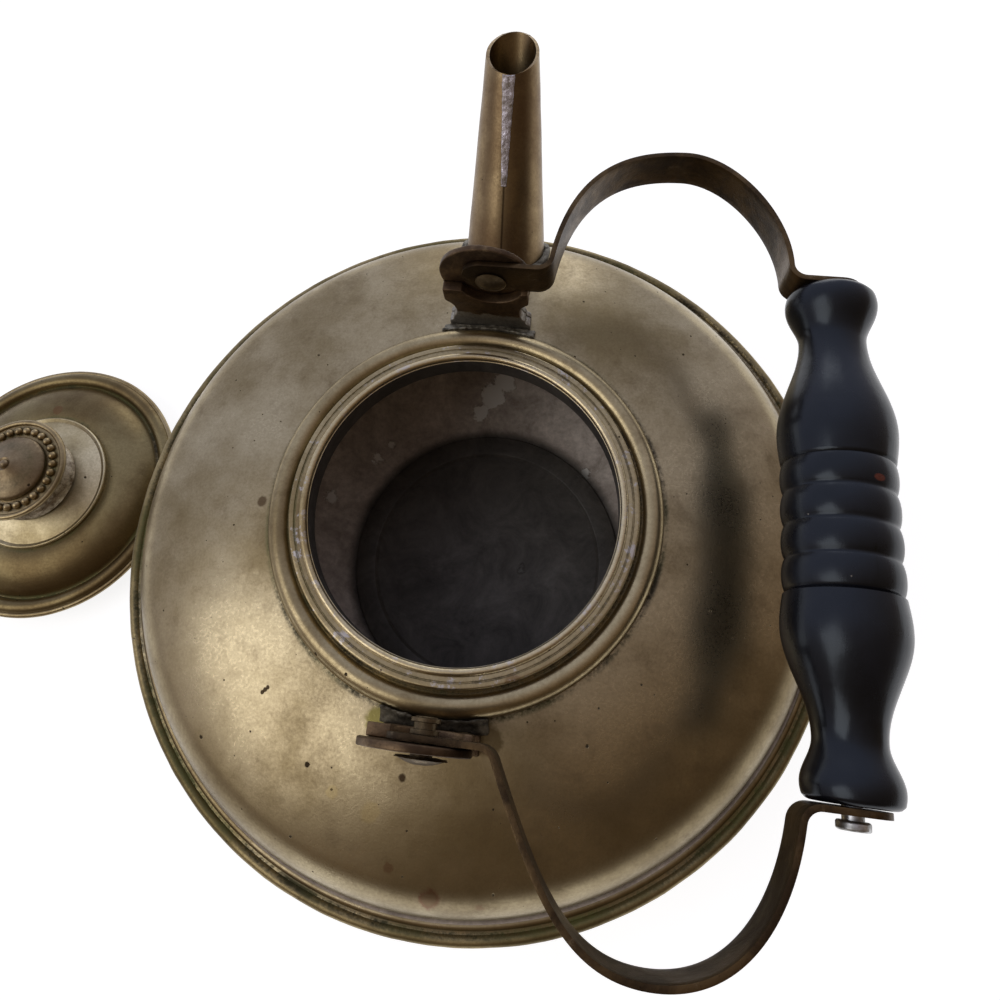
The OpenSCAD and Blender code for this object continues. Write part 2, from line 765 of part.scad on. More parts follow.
module knob_button() {
    color("#a8965e") at_lid() rotate_extrude() translate([0, button_z]) {
        polygon([[0, 0], [button_r, 0], [button_r, 0.5], [button_r - 0.5, 1],
            [0.62 * button_r, 0.5 * button_h], [0.3 * button_r, 0.74 * button_h],
            [0, 0.8 * button_h]]);
        intersection() {
            square([3, button_h]);
            translate([0, button_h - 2.2]) circle(2.2, $fn = 64);
        }
    }
}

module lid_rivet() {
    color("#777064") at_lid() {
        translate([0, 0, cushion_z - lid_t]) cylinder(h = button_z - cushion_z + lid_t, r = 4, $fn = 64);
        translate([0, 0, cushion_z - lid_t - 1.2]) cylinder(h = 1.2, r = 6, $fn = 64);
    }
}

body_dome();
body_bowl();
base_plate();
rim_roll();
neck_collar();
neck_lip();
spout();
spout_seam();
spout_root();
bracket_front();
bracket_back();
foot_solder_front();
foot_solder_back();
rivet_front();
rivet_back();
arm_front();
arm_back();
grip_rod();
rod_head_front();
rod_head_back();
grip();
lid_shell();
lid_edge();
lid_collar();
lid_boss();
knob_stem();
knob_gallery();
knob_button();
lid_rivet();
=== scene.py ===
import bpy, math
from mathutils import Vector, Matrix


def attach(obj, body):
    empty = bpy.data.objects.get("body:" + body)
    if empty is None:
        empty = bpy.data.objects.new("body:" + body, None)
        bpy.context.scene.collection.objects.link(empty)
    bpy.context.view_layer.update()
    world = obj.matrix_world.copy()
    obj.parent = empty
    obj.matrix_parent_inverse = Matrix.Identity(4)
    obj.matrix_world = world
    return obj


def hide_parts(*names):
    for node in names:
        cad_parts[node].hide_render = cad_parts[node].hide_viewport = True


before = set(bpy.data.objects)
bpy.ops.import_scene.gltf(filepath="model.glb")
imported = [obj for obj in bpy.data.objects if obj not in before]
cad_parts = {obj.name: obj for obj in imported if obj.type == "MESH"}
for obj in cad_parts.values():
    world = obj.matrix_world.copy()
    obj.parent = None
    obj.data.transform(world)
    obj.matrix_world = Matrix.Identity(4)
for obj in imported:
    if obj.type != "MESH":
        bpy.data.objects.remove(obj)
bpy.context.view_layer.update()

# Camera, at the photograph's place close above the kettle, looking down at it
# and a little towards the spout.
right = Vector((0.9903, 0.1212, -0.0676))
down = Vector((0.0847, -0.9136, -0.3976))
ahead = Vector((-0.1099, 0.3881, -0.9151))
lens = bpy.data.cameras.new("camera")
camera = bpy.data.objects.new("camera", lens)
bpy.context.scene.collection.objects.link(camera)
turn = Matrix((right, -down, -ahead)).transposed().to_4x4()
camera.matrix_world = Matrix.Translation((0.02768, -0.04868, 0.25418)) @ turn
lens.sensor_width = 36
lens.lens = 28.8
lens.shift_x = 0
lens.shift_y = -0.109
bpy.context.scene.camera = camera

# Upper shell of the kettle: one sheet of brass spun into a low dome with a
# rounded shoulder, a straight skirt, a half-round moulding and a flange that
# the rim's roll grips. It is tinned inside.
MM = 0.001


def linear(hexcolour):
    """The sRGB hex colour as linear values"""
    parts = [int(hexcolour[i:i + 2], 16) / 255 for i in (1, 3, 5)]
    return (*[c / 12.92 if c <= 0.04045 else ((c + 0.055) / 1.055) ** 2.4 for c in parts], 1)


def add(tree, kind, settings, inputs):
    """A node with its settings, its inputs linked or given a value"""
    node = tree.nodes.new(kind)
    for key, value in settings.items():
        setattr(node, key, value)
    for key, value in inputs.items():
        if isinstance(value, bpy.types.NodeSocket):
            tree.links.new(value, node.inputs[key])
        else:
            node.inputs[key].default_value = value
    return node


def every(mm):
    """Pattern scale for marks that come about every so many millimetres"""
    return 1000 / mm


def blank(name):
    """A new material with its node tree, its shader and the piece's own coordinates"""
    material = bpy.data.materials.new(name)
    material.use_nodes = True
    tree = material.node_tree
    place = add(tree, "ShaderNodeTexCoord", {}, {})
    return material, tree, tree.nodes["Principled BSDF"], place.outputs["Object"]


def arc(x, z, radius, start, end, steps):
    """Points on an arc, its angles measured from straight up, in degrees"""
    turns = [math.radians(start + (end - start) * i / steps) for i in range(steps + 1)]
    return [(x + radius * math.sin(t), z + radius * math.cos(t)) for t in turns]


def only(piece):
    """Selects one piece and nothing else"""
    bpy.ops.object.select_all(action="DESELECT")
    piece.select_set(True)
    bpy.context.view_layer.objects.active = piece


def modify(piece, kind, **settings):
    """Adds a modifier and applies it"""
    only(piece)
    change = piece.modifiers.new(kind.lower(), kind)
    for key, value in settings.items():
        setattr(change, key, value)
    bpy.ops.object.modifier_apply(modifier=change.name)


def cut(piece, tool):
    """Cuts a tool's shape out of a piece and puts the tool away"""
    modify(piece, "BOOLEAN", object=tool, operation="DIFFERENCE", solver="EXACT")
    bpy.data.objects.remove(tool)


def smooth(piece, angle=35):
    """Smooth shading, with edges sharper than the angle kept"""
    only(piece)
    bpy.ops.object.shade_smooth_by_angle(angle=math.radians(angle))


def drawn(name, points):
    """A chain of edges through points given in millimetres"""
    bpy.ops.object.select_all(action="DESELECT")
    first = Vector(points[0]) * MM
    bpy.ops.mesh.primitive_plane_add(size=0.001, location=first)
    piece = bpy.context.object
    piece.name = name
    bpy.ops.object.transform_apply(location=True)
    bpy.ops.object.mode_set(mode="EDIT")
    bpy.ops.mesh.select_mode(type="VERT")
    bpy.ops.mesh.select_all(action="SELECT")
    bpy.ops.mesh.merge(type="CENTER")
    before = first
    for point in points[1:]:
        here = Vector(point) * MM
        bpy.ops.mesh.extrude_region_move(TRANSFORM_OT_translate={"value": here - before})
        before = here
    return piece


def spun(name, outline, segments, closed=True, angle=35):
    """A piece spun about the upright axis from its outline of (radius, height)"""
    if closed:
        outline = outline + outline[:1]
    piece = drawn(name, [(x, 0, z) for x, z in outline])
    bpy.ops.mesh.select_all(action="SELECT")
    bpy.ops.mesh.spin(steps=segments, angle=math.tau, center=(0, 0, 0), axis=(0, 0, 1))
    bpy.ops.mesh.select_all(action="SELECT")
    bpy.ops.mesh.remove_doubles(threshold=0.000004)
    bpy.ops.mesh.normals_make_consistent(inside=False)
    bpy.ops.object.mode_set(mode="OBJECT")
    smooth(piece, angle)
    return piece


def dented(piece, strength, size):
    """Soft dents and waves, strength and size in millimetres"""
    clouds = bpy.data.textures.new(piece.name, "CLOUDS")
    clouds.noise_scale = size * MM
    modify(piece, "DISPLACE", texture=clouds, strength=strength * MM, mid_level=0.5,
           texture_coords="LOCAL")


def inner_faces(piece, inside, centre=(0, 0, 0.03)):
    """Gives the second material to faces that look towards the centre"""
    piece.data.materials.append(inside)
    middle = Vector(centre)
    for face in piece.data.polygons:
        if (face.center - middle).dot(face.normal) < 0:
            face.material_index = 1


def aged_brass(name, clean, dull, brown, gloss, rings=(), centre=(0, 0, 0), lines=0.25,
               stains=(), crumbs=0, seam=None):
    """Spun sheet brass that was polished long ago. It gives a broad soft sheen
    in olive and brown clouds, with pits, water spots and fine spinning lines."""
    material, tree, shader, place = blank(name)
    middle = add(tree, "ShaderNodeMapping", {}, {0: place, 1: [-c * MM for c in centre]})
    flat = add(tree, "ShaderNodeVectorMath", {"operation": "MULTIPLY"}, {0: middle.outputs[0], 1: (1, 1, 0)})
    reach = add(tree, "ShaderNodeVectorMath", {"operation": "LENGTH"}, {0: flat.outputs[0]})
    split = add(tree, "ShaderNodeSeparateXYZ", {}, {0: middle.outputs[0]})
    # Tarnish clouds 45 mm wide, broken up by smaller ones of 9 mm
    clouds = add(tree, "ShaderNodeTexNoise", {}, {"Vector": middle.outputs[0], "Scale": every(45),
                 "Detail": 5, "Roughness": 0.62})
    small = add(tree, "ShaderNodeTexNoise", {}, {"Vector": middle.outputs[0], "Scale": every(9),
                "Detail": 7, "Roughness": 0.74, "Distortion": 0.2})
    fine = add(tree, "ShaderNodeTexNoise", {}, {"Vector": middle.outputs[0], "Scale": every(0.7),
               "Detail": 3, "Roughness": 0.7})
    cloud = add(tree, "ShaderNodeMapRange", {"interpolation_type": "SMOOTHSTEP"},
                {0: clouds.outputs[0], 1: 0.36, 2: 0.66})
    speck = add(tree, "ShaderNodeMapRange", {"interpolation_type": "SMOOTHSTEP"},
                {0: small.outputs[0], 1: 0.47, 2: 0.78})
    grain = add(tree, "ShaderNodeMapRange", {}, {0: fine.outputs[0], 1: 0.3, 2: 0.75})
    colour = add(tree, "ShaderNodeMix", {"data_type": "RGBA"},
                 {0: cloud.outputs[0], 6: linear(clean), 7: linear(dull)})
    half = add(tree, "ShaderNodeMath", {"operation": "MULTIPLY"}, {0: speck.outputs[0], 1: 0.45})
    colour = add(tree, "ShaderNodeMix", {"data_type": "RGBA"},
                 {0: half.outputs[0], 6: colour.outputs[2], 7: linear(brown)})
    slight = add(tree, "ShaderNodeMath", {"operation": "MULTIPLY"}, {0: grain.outputs[0], 1: 0.34})
    colour = add(tree, "ShaderNodeMix", {"data_type": "RGBA"},
                 {0: slight.outputs[0], 6: colour.outputs[2], 7: linear(brown)})
    # Pits every 3 mm, stuck specks every 9 mm and water spots every 17 mm
    marks = []
    for pitch, least, most, share in ((3, 0.03, 0.11, 0.55), (9, 0.03, 0.085, 0.6), (17, 0.05, 0.15, 0.6)):
        cells = add(tree, "ShaderNodeTexVoronoi", {}, {"Vector": middle.outputs[0], "Scale": every(pitch)})
        chance = add(tree, "ShaderNodeSeparateColor", {}, {0: cells.outputs["Color"]})
        size = add(tree, "ShaderNodeMapRange", {},
                   {0: chance.outputs[0], 1: 1 - share, 2: 1, 3: least, 4: most})
        there = add(tree, "ShaderNodeMath", {"operation": "GREATER_THAN"},
                    {0: chance.outputs[0], 1: 1 - share})
        ragged = add(tree, "ShaderNodeMath", {"operation": "MULTIPLY_ADD"},
                     {0: grain.outputs[0], 1: 0.035, 2: cells.outputs["Distance"]})
        gap = add(tree, "ShaderNodeMath", {"operation": "SUBTRACT"},
                  {0: size.outputs[0], 1: ragged.outputs[0]})
        mark = add(tree, "ShaderNodeMapRange", {}, {0: gap.outputs[0], 1: -0.004, 2: 0.012})
        marks.append(add(tree, "ShaderNodeMath", {"operation": "MULTIPLY"},
                         {0: mark.outputs[0], 1: there.outputs[0]}))
    pit = add(tree, "ShaderNodeMath", {"operation": "MAXIMUM"},
              {0: marks[0].outputs[0], 1: marks[1].outputs[0]})
    spot = marks[2]
    faint = add(tree, "ShaderNodeMath", {"operation": "MULTIPLY"}, {0: spot.outputs[0], 1: 0.45})
    colour = add(tree, "ShaderNodeMix", {"data_type": "RGBA"},
                 {0: faint.outputs[0], 6: colour.outputs[2], 7: linear("#6a4630")})
    strong = add(tree, "ShaderNodeMath", {"operation": "MULTIPLY"}, {0: pit.outputs[0], 1: 0.8})
    colour = add(tree, "ShaderNodeMix", {"data_type": "RGBA"},
                 {0: strong.outputs[0], 6: colour.outputs[2], 7: linear("#2c2015")})
    # Single stains: place and radius in millimetres, colour and strength
    if stains:
        uneven = add(tree, "ShaderNodeMath", {"operation": "MULTIPLY_ADD"},
                     {0: small.outputs[0], 1: 0.004, 2: -0.002})
    for x, y, size, tint, amount in stains:
        off = add(tree, "ShaderNodeVectorMath", {"operation": "SUBTRACT"},
                  {0: flat.outputs[0], 1: (x * MM, y * MM, 0)})
        gap = add(tree, "ShaderNodeVectorMath", {"operation": "LENGTH"}, {0: off.outputs[0]})
        rough_gap = add(tree, "ShaderNodeMath", {"operation": "MULTIPLY_ADD"},
                        {0: uneven.outputs[0], 1: min(2, size / 2), 2: gap.outputs["Value"]})
        there = add(tree, "ShaderNodeMapRange", {"interpolation_type": "SMOOTHSTEP"},
                    {0: rough_gap.outputs[0], 1: size * MM, 2: size * 0.6 * MM, 3: 0, 4: amount})
        colour = add(tree, "ShaderNodeMix", {"data_type": "RGBA"},
                     {0: there.outputs[0], 6: colour.outputs[2], 7: linear(tint)})
    # The dark line of a butt seam, on the side above the axis, which passes (y, z) at a slope
    if seam:
        y, z, slope = seam
        off = add(tree, "ShaderNodeMath", {"operation": "ABSOLUTE"}, {0: split.outputs[0]})
        line = add(tree, "ShaderNodeMapRange", {}, {0: off.outputs[0], 1: 0.0004, 2: 0.0001, 3: 0, 4: 0.75})
        above = add(tree, "ShaderNodeMath", {"operation": "MULTIPLY_ADD"},
                    {0: split.outputs[1], 1: -slope, 2: split.outputs[2]})
        upper = add(tree, "ShaderNodeMath", {"operation": "GREATER_THAN"},
                    {0: above.outputs[0], 1: (z - slope * y) * MM})
        line = add(tree, "ShaderNodeMath", {"operation": "MULTIPLY"},
                   {0: line.outputs[0], 1: upper.outputs[0]})
        colour = add(tree, "ShaderNodeMix", {"data_type": "RGBA"},
                     {0: line.outputs[0], 6: colour.outputs[2], 7: linear("#241a10")})
    # Crumbs of pale solder left on the flat of the neck
    if crumbs:
        seat_low, seat_high = 69.0, 69.4
        lumps = add(tree, "ShaderNodeTexNoise", {},
                    {"Vector": middle.outputs[0], "Scale": every(4), "Detail": 7,
                    "Roughness": 0.78})
        on_flat = add(tree, "ShaderNodeMapRange", {},
                      {0: split.outputs[2], 1: seat_low * MM, 2: seat_high * MM})
        few = add(tree, "ShaderNodeMapRange", {}, {0: lumps.outputs[0], 1: 0.57, 2: 0.61, 3: 0, 4: crumbs})
        stuck = add(tree, "ShaderNodeMath", {"operation": "MULTIPLY"},
                    {0: few.outputs[0], 1: on_flat.outputs[0]})
        colour = add(tree, "ShaderNodeMix", {"data_type": "RGBA"},
                     {0: stuck.outputs[0], 6: colour.outputs[2], 7: linear("#c3bfbf")})
    # Dirt and verdigris that polish never reached, in the grooves round the piece
    soiled = None
    for radius, width, height, deep in rings:
        across = add(tree, "ShaderNodeMath", {"operation": "SUBTRACT"},
                     {0: reach.outputs["Value"], 1: radius * MM})
        over = add(tree, "ShaderNodeMath", {"operation": "SUBTRACT"}, {0: split.outputs[2], 1: height * MM})
        both = add(tree, "ShaderNodeCombineXYZ", {}, {0: across.outputs[0], 1: over.outputs[0]})
        away = add(tree, "ShaderNodeVectorMath", {"operation": "LENGTH"}, {0: both.outputs[0]})
        near = add(tree, "ShaderNodeMapRange", {"interpolation_type": "SMOOTHSTEP"},
                   {0: away.outputs["Value"], 1: width * MM, 2: 0.25 * width * MM, 3: 0, 4: deep})
        soiled = near if soiled is None else add(tree, "ShaderNodeMath", {"operation": "MAXIMUM"},
                                                 {0: soiled.outputs[0], 1: near.outputs[0]})
    if soiled is not None:
        broken = add(tree, "ShaderNodeMath", {"operation": "MULTIPLY_ADD"},
                     {0: fine.outputs[0], 1: 0.5, 2: small.outputs[0]})
        patchy = add(tree, "ShaderNodeMapRange", {}, {0: broken.outputs[0], 1: 0.62, 2: 0.86, 3: 0.12, 4: 1})
        soiled = add(tree, "ShaderNodeMath", {"operation": "MULTIPLY"},
                     {0: soiled.outputs[0], 1: patchy.outputs[0]})
        green = add(tree, "ShaderNodeMix", {"data_type": "RGBA"},
                    {0: cloud.outputs[0], 6: linear("#2b2415"), 7: linear("#5a5a2c")})
        colour = add(tree, "ShaderNodeMix", {"data_type": "RGBA"},
                     {0: soiled.outputs[0], 6: colour.outputs[2], 7: green.outputs[2]})
    tree.links.new(colour.outputs[2], shader.inputs["Base Color"])
    # Tarnish and specks scatter the light more than the rubbed metal does
    rough = add(tree, "ShaderNodeMath", {"operation": "MULTIPLY_ADD"},
                {0: cloud.outputs[0], 1: 0.1, 2: gloss})
    rough = add(tree, "ShaderNodeMath", {"operation": "MULTIPLY_ADD"},
                {0: half.outputs[0], 1: 0.12, 2: rough.outputs[0]})
    rough = add(tree, "ShaderNodeMath", {"operation": "MULTIPLY_ADD"},
                {0: slight.outputs[0], 1: 0.3, 2: rough.outputs[0]})
    rough = add(tree, "ShaderNodeMath", {"operation": "MAXIMUM"}, {0: rough.outputs[0], 1: strong.outputs[0]})
    if soiled is not None:
        heavy = add(tree, "ShaderNodeMath", {"operation": "MULTIPLY"}, {0: soiled.outputs[0], 1: 0.75})
        rough = add(tree, "ShaderNodeMath", {"operation": "MAXIMUM"},
                    {0: rough.outputs[0], 1: heavy.outputs[0]})
        bare = add(tree, "ShaderNodeMapRange", {}, {0: soiled.outputs[0], 1: 0, 2: 1, 3: 1, 4: 0.25})
        tree.links.new(bare.outputs[0], shader.inputs["Metallic"])
    else:
        shader.inputs["Metallic"].default_value = 1
    tree.links.new(rough.outputs[0], shader.inputs["Roughness"])
    # Spinning lines about every 0.8 mm, drawn coarser than real ones so that they show
    wide = add(tree, "ShaderNodeCombineXYZ", {}, {0: reach.outputs["Value"], 1: 0, 2: split.outputs[2]})
    turned = add(tree, "ShaderNodeTexNoise", {},
                 {"Vector": wide.outputs[0], "Scale": every(0.8), "Detail": 2})
    waves = add(tree, "ShaderNodeTexNoise", {},
                {"Vector": middle.outputs[0], "Scale": every(24), "Detail": 2})
    bump = add(tree, "ShaderNodeBump", {}, {"Strength": 0.5, "Distance": 0.0007, "Height": waves.outputs[0]})
    bump = add(tree, "ShaderNodeBump", {}, {"Strength": lines, "Distance": 0.00002,
               "Height": turned.outputs[0], "Normal": bump.outputs[0]})
    bump = add(tree, "ShaderNodeBump", {}, {"Strength": 0.45, "Distance": 0.00005,
               "Height": fine.outputs[0], "Normal": bump.outputs[0]})
    bump = add(tree, "ShaderNodeBump", {"invert": True}, {"Strength": 0.5, "Distance": 0.0001,
               "Height": pit.outputs[0], "Normal": bump.outputs[0]})
    tree.links.new(bump.outputs[0], shader.inputs["Normal"])
    return material


def tinned_metal(name, light, dark, crusts):
    """Hot-tinned brass inside the kettle. It gives a dull dark grey with pale crusts
    of scale high on the wall, mottled stains, and painted shade that makes the floor near black."""
    material, tree, shader, place = blank(name)
    stains = add(tree, "ShaderNodeTexNoise", {}, {"Vector": place, "Scale": every(14),
                 "Detail": 8, "Roughness": 0.72, "Distortion": 0.8})
    specks = add(tree, "ShaderNodeTexNoise", {}, {"Vector": place, "Scale": every(1.6),
                 "Detail": 4, "Roughness": 0.7})
    crust = add(tree, "ShaderNodeTexNoise", {}, {"Vector": place, "Scale": every(20),
                "Detail": 7, "Roughness": 0.6, "Distortion": 0.3})
    stain = add(tree, "ShaderNodeMapRange", {}, {0: stains.outputs[0], 1: 0.32, 2: 0.7})
    speck = add(tree, "ShaderNodeMapRange", {}, {0: specks.outputs[0], 1: 0.35, 2: 0.72})
    colour = add(tree, "ShaderNodeMix", {"data_type": "RGBA"},
                 {0: stain.outputs[0], 6: linear(dark), 7: linear(light)})
    some = add(tree, "ShaderNodeMath", {"operation": "MULTIPLY"}, {0: speck.outputs[0], 1: 0.4})
    colour = add(tree, "ShaderNodeMix", {"data_type": "RGBA"},
                 {0: some.outputs[0], 6: colour.outputs[2], 7: linear("#4a3f33")})
    flat = add(tree, "ShaderNodeVectorMath", {"operation": "MULTIPLY"}, {0: place, 1: (1, 1, 0)})
    uneven = add(tree, "ShaderNodeMath", {"operation": "MULTIPLY_ADD"},
                 {0: crust.outputs[0], 1: 0.018, 2: -0.009})
    uneven = add(tree, "ShaderNodeMath", {"operation": "MULTIPLY_ADD"},
                 {0: specks.outputs[0], 1: 0.004, 2: uneven.outputs[0]})
    scale = None
    for x, y, size in crusts:
        off = add(tree, "ShaderNodeVectorMath", {"operation": "SUBTRACT"},
                  {0: flat.outputs[0], 1: (x * MM, y * MM, 0)})
        gap = add(tree, "ShaderNodeVectorMath", {"operation": "LENGTH"}, {0: off.outputs[0]})
        edge = add(tree, "ShaderNodeMath", {"operation": "ADD"},
                   {0: gap.outputs["Value"], 1: uneven.outputs[0]})
        there = add(tree, "ShaderNodeMapRange", {},
                    {0: edge.outputs[0], 1: (size + 0.4) * MM, 2: (size - 0.4) * MM})
        scale = there if scale is None else add(tree, "ShaderNodeMath", {"operation": "MAXIMUM"},
                                                {0: scale.outputs[0], 1: there.outputs[0]})
    colour = add(tree, "ShaderNodeMix", {"data_type": "RGBA"},
                 {0: scale.outputs[0], 6: colour.outputs[2], 7: linear("#ece9e0")})
    # Painted shade: within about 41.5 mm of the axis the floor is made mottled near black, fading out by 45.5
    # mm
    reach = add(tree, "ShaderNodeVectorMath", {"operation": "LENGTH"}, {0: flat.outputs[0]})
    deep = add(tree, "ShaderNodeMapRange", {"interpolation_type": "SMOOTHSTEP"},
               {0: reach.outputs["Value"], 1: 0.0415, 2: 0.0455, 3: 0.9, 4: 0})
    floor_shade = add(tree, "ShaderNodeMix", {"data_type": "RGBA"},
               {0: stain.outputs[0], 6: linear("#1b1a17"), 7: linear("#43413a")})
    colour = add(tree, "ShaderNodeMix", {"data_type": "RGBA"},
                 {0: deep.outputs[0], 6: colour.outputs[2], 7: floor_shade.outputs[2]})
    tree.links.new(colour.outputs[2], shader.inputs["Base Color"])
    metal = add(tree, "ShaderNodeMapRange", {}, {0: scale.outputs[0], 1: 0, 2: 1, 3: 0.15, 4: 0})
    tree.links.new(metal.outputs[0], shader.inputs["Metallic"])
    rough = add(tree, "ShaderNodeMapRange", {}, {0: stains.outputs[0], 1: 0.3, 2: 0.7, 3: 0.62, 4: 0.42})
    tree.links.new(rough.outputs[0], shader.inputs["Roughness"])
    bump = add(tree, "ShaderNodeBump", {}, {"Strength": 0.6, "Distance": 0.0001, "Height": specks.outputs[0]})
    bump = add(tree, "ShaderNodeBump", {}, {"Strength": 0.7, "Distance": 0.0003, "Height": scale.outputs[0],
               "Normal": bump.outputs[0]})
    tree.links.new(bump.outputs[0], shader.inputs["Normal"])
    return material


RIM_R, RIM_Z, SHEET = 95, 40, 0.8
ROLL_R, FLANGE = 1.5, 4.5
ROLL_X = RIM_R - ROLL_R
SKIRT_R = ROLL_X - FLANGE
EDGE_Z = RIM_Z + SHEET + 2.2
SHOULDER_R, SHOULDER_A = 14, 24
SHOULDER_X = SKIRT_R - SHOULDER_R
CREASE_R, CREASE_Z = 48.0, 64.6
NECK_R, SLEEVE = 37.4, 1.0
top_x = SHOULDER_X + SHOULDER_R * math.sin(math.radians(SHOULDER_A))
top_z = EDGE_Z + SHOULDER_R * math.cos(math.radians(SHOULDER_A))
lean = 2 * math.degrees(math.atan2(CREASE_Z - top_z, top_x - CREASE_R)) - SHOULDER_A
DOME_R = (top_x - CREASE_R) / (math.sin(math.radians(SHOULDER_A)) - math.sin(math.radians(lean)))
DOME_X = top_x - DOME_R * math.sin(math.radians(SHOULDER_A))
DOME_Z = top_z - DOME_R * math.cos(math.radians(SHOULDER_A))
hole = math.degrees(math.asin((NECK_R + SLEEVE - DOME_X) / (DOME_R - SHEET)))
dome_outline = (
    arc(DOME_X, DOME_Z, DOME_R, hole, SHOULDER_A, 40)
    + arc(SHOULDER_X, EDGE_Z, SHOULDER_R, SHOULDER_A + 2, 90, 34)
    + [(SKIRT_R, 42), (SKIRT_R + 0.06, 41.3), (SKIRT_R + 0.3, 40.95)]
    + arc(90.5, 40.4, 1.25, -60, 60, 10)
    + [(92.0, 40.9), (92.6, 40.82), (ROLL_X - 0.3, 40.8), (ROLL_X - 0.3, 40)]
    + [(SKIRT_R - SHEET, 40)]
    + arc(SHOULDER_X, EDGE_Z, SHOULDER_R - SHEET, 90, SHOULDER_A + 2, 20)
    + arc(DOME_X, DOME_Z, DOME_R - SHEET, SHOULDER_A, hole, 24))
dome = spun("kettle_dome", dome_outline, 256)
dome_brass = aged_brass("aged spun brass", "#b3a585", "#867757", "#54422a", 0.24,
                        rings=((48.2, 1.5, 64.8, 0.95), (SKIRT_R, 1.5, 41.0, 0.9), (92.4, 1.3, 40.9, 1.0)),
                        stains=((-11, -50.6, 4.6, "#6c6530", 0.85), (-5.5, -60.7, 1.2, "#2e2015", 0.9),
                                (-11.8, -68.3, 2.4, "#a8966a", 0.5), (-20.9, -65.5, 1.6, "#a8966a", 0.5),
                                (3.1, -83.8, 2.8, "#6e3f2e", 0.7), (3.1, -83.8, 2.1, "#7d6b50", 0.8),
                                (-40.8, -47.2, 0.5, "#241a10", 0.95), (-40.2, -46.6, 0.55, "#241a10", 0.95),
                                (-39.6, -46.0, 0.5, "#241a10", 0.95), (-50.9, -3.6, 1.6, "#4b3926", 0.8),
                                (12, -50.6, 4, "#4b3e22", 0.7)))
tinning = tinned_metal("tinning with painted floor shade", "#d6cabd", "#9c9084",
                       ((-8, 50, 3.4), (-4, 55, 5), (-0.5, 60, 4.6), (-40, 30, 4.4), (-37, 35, 2.6),
                        (29, 32, 2.8), (-52, 14, 2.6), (11, -2, 1.6), (13, -8, 1.2)))
dome.data.materials.append(dome_brass)

# The spout's hole is cut through the dome with a drill as wide as the bore
SPOUT_Y, SPOUT_Z, SPOUT_A = 80.6, 55.4, 47
SPOUT_LEN, SPOUT_R0, SPOUT_R1, SPOUT_WALL = 53.8, 11.3, 7.1, 0.9
spout_taper = (SPOUT_R0 - SPOUT_R1) / SPOUT_LEN


def along_spout(piece):
    """Lays a piece that stands on the origin along the spout's axis"""
    only(piece)
    piece.rotation_euler = (math.radians(SPOUT_A - 90), 0, 0)
    piece.location = (0, SPOUT_Y * MM, SPOUT_Z * MM)
    bpy.ops.object.transform_apply(location=True, rotation=True)


drill = spun("drill", [(0, -14), (SPOUT_R0 + 14 * spout_taper - SPOUT_WALL, -14),
                       (SPOUT_R0 - 14 * spout_taper - SPOUT_WALL, 14), (0, 14)], 96, closed=False)
along_spout(drill)
cut(dome, drill)
smooth(dome)
inner_faces(dome, tinning)
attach(dome, "kettle")
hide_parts("body_dome")

# Lower shell of the kettle: a spun brass bowl with a flat base, closed by its
# own flange under the dome's and tinned inside like it.
BASE_R, BOWL_A = 44, 72
BOWL_R, BOWL_TOP, WELL_R = SKIRT_R - 1, RIM_Z - SHEET, 37
rise = math.degrees(math.atan2(BOWL_TOP, BOWL_R - BASE_R))
bowl_low = 2 * rise - BOWL_A
bowl_bend = (BOWL_R - BASE_R) / (math.sin(math.radians(BOWL_A)) - math.sin(math.radians(bowl_low)))
bowl_x = BOWL_R - bowl_bend * math.sin(math.radians(BOWL_A))
bowl_z = BOWL_TOP + bowl_bend * math.cos(math.radians(BOWL_A))
bowl = spun("kettle_bowl",
            [(WELL_R, 0)] + arc(bowl_x, bowl_z, bowl_bend, 180 - bowl_low, 180 - BOWL_A, 48)
            + [(ROLL_X - 0.3, BOWL_TOP), (ROLL_X - 0.3, RIM_Z), (BOWL_R - SHEET, RIM_Z)]
            + arc(bowl_x, bowl_z, bowl_bend - SHEET, 180 - BOWL_A, 180 - bowl_low - 1, 40)
            + [(BASE_R - 0.6, SHEET), (WELL_R, SHEET)], 224)
bowl.data.materials.append(aged_brass("aged brass of the bowl", "#a89a7a", "#7b6d50", "#4d3d28", 0.28,
                                      rings=((BOWL_R, 2.4, 39.2, 0.9), (92.4, 1.4, 39.2, 0.9))))
inner_faces(bowl, tinning)
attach(bowl, "kettle")
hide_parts("body_bowl")

# Base plate: a round of sheet let into the bottom of the bowl and soldered
# there, its raised step seen inside as a ring on the floor.
plate = spun("kettle_base", [(0, 0)] + arc(WELL_R - 0.3, 0.3, 0.3, 180, 90, 4)
             + arc(WELL_R + 4.6 - 0.4, SHEET + 0.4, 0.4, 180, 0, 8)
             + arc(WELL_R - 1.3, 1.2, 0.4, 0, -60, 4) + [(WELL_R - 2.4, SHEET), (0, SHEET)],
             160, closed=False)
plate.data.materials.append(aged_brass("worn brass of the base", "#938770", "#6a6252", "#463b2c", 0.42,
                                       rings=((WELL_R, 1.6, 0, 0.8),), lines=0.6))
inner_faces(plate, tinning, centre=(0, 0, 0.0004))
for face in plate.data.polygons:
    face.material_index = 1 if face.center.z > 0.0006 else 0
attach(plate, "kettle")
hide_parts("base_plate")

# Rolled rim: the edge of the bowl's sheet turned round both flanges and closed
# by hammering, so it runs a little uneven and its ends meet in a lap.


def lap_saw(radius, height, reach, angle):
    """A thin blade across a rolled edge, turned to an angle round the piece"""
    bpy.ops.object.select_all(action="DESELECT")
    bpy.ops.mesh.primitive_cube_add(size=1, location=(radius * MM, 0, height * MM))
    saw = bpy.context.object
    saw.scale = (reach * MM, 0.3 * MM, 6 * MM)
    bpy.ops.object.transform_apply(location=True, scale=True)
    saw.rotation_euler = (0, 0, math.radians(angle))
    bpy.ops.object.transform_apply(rotation=True)
    return saw


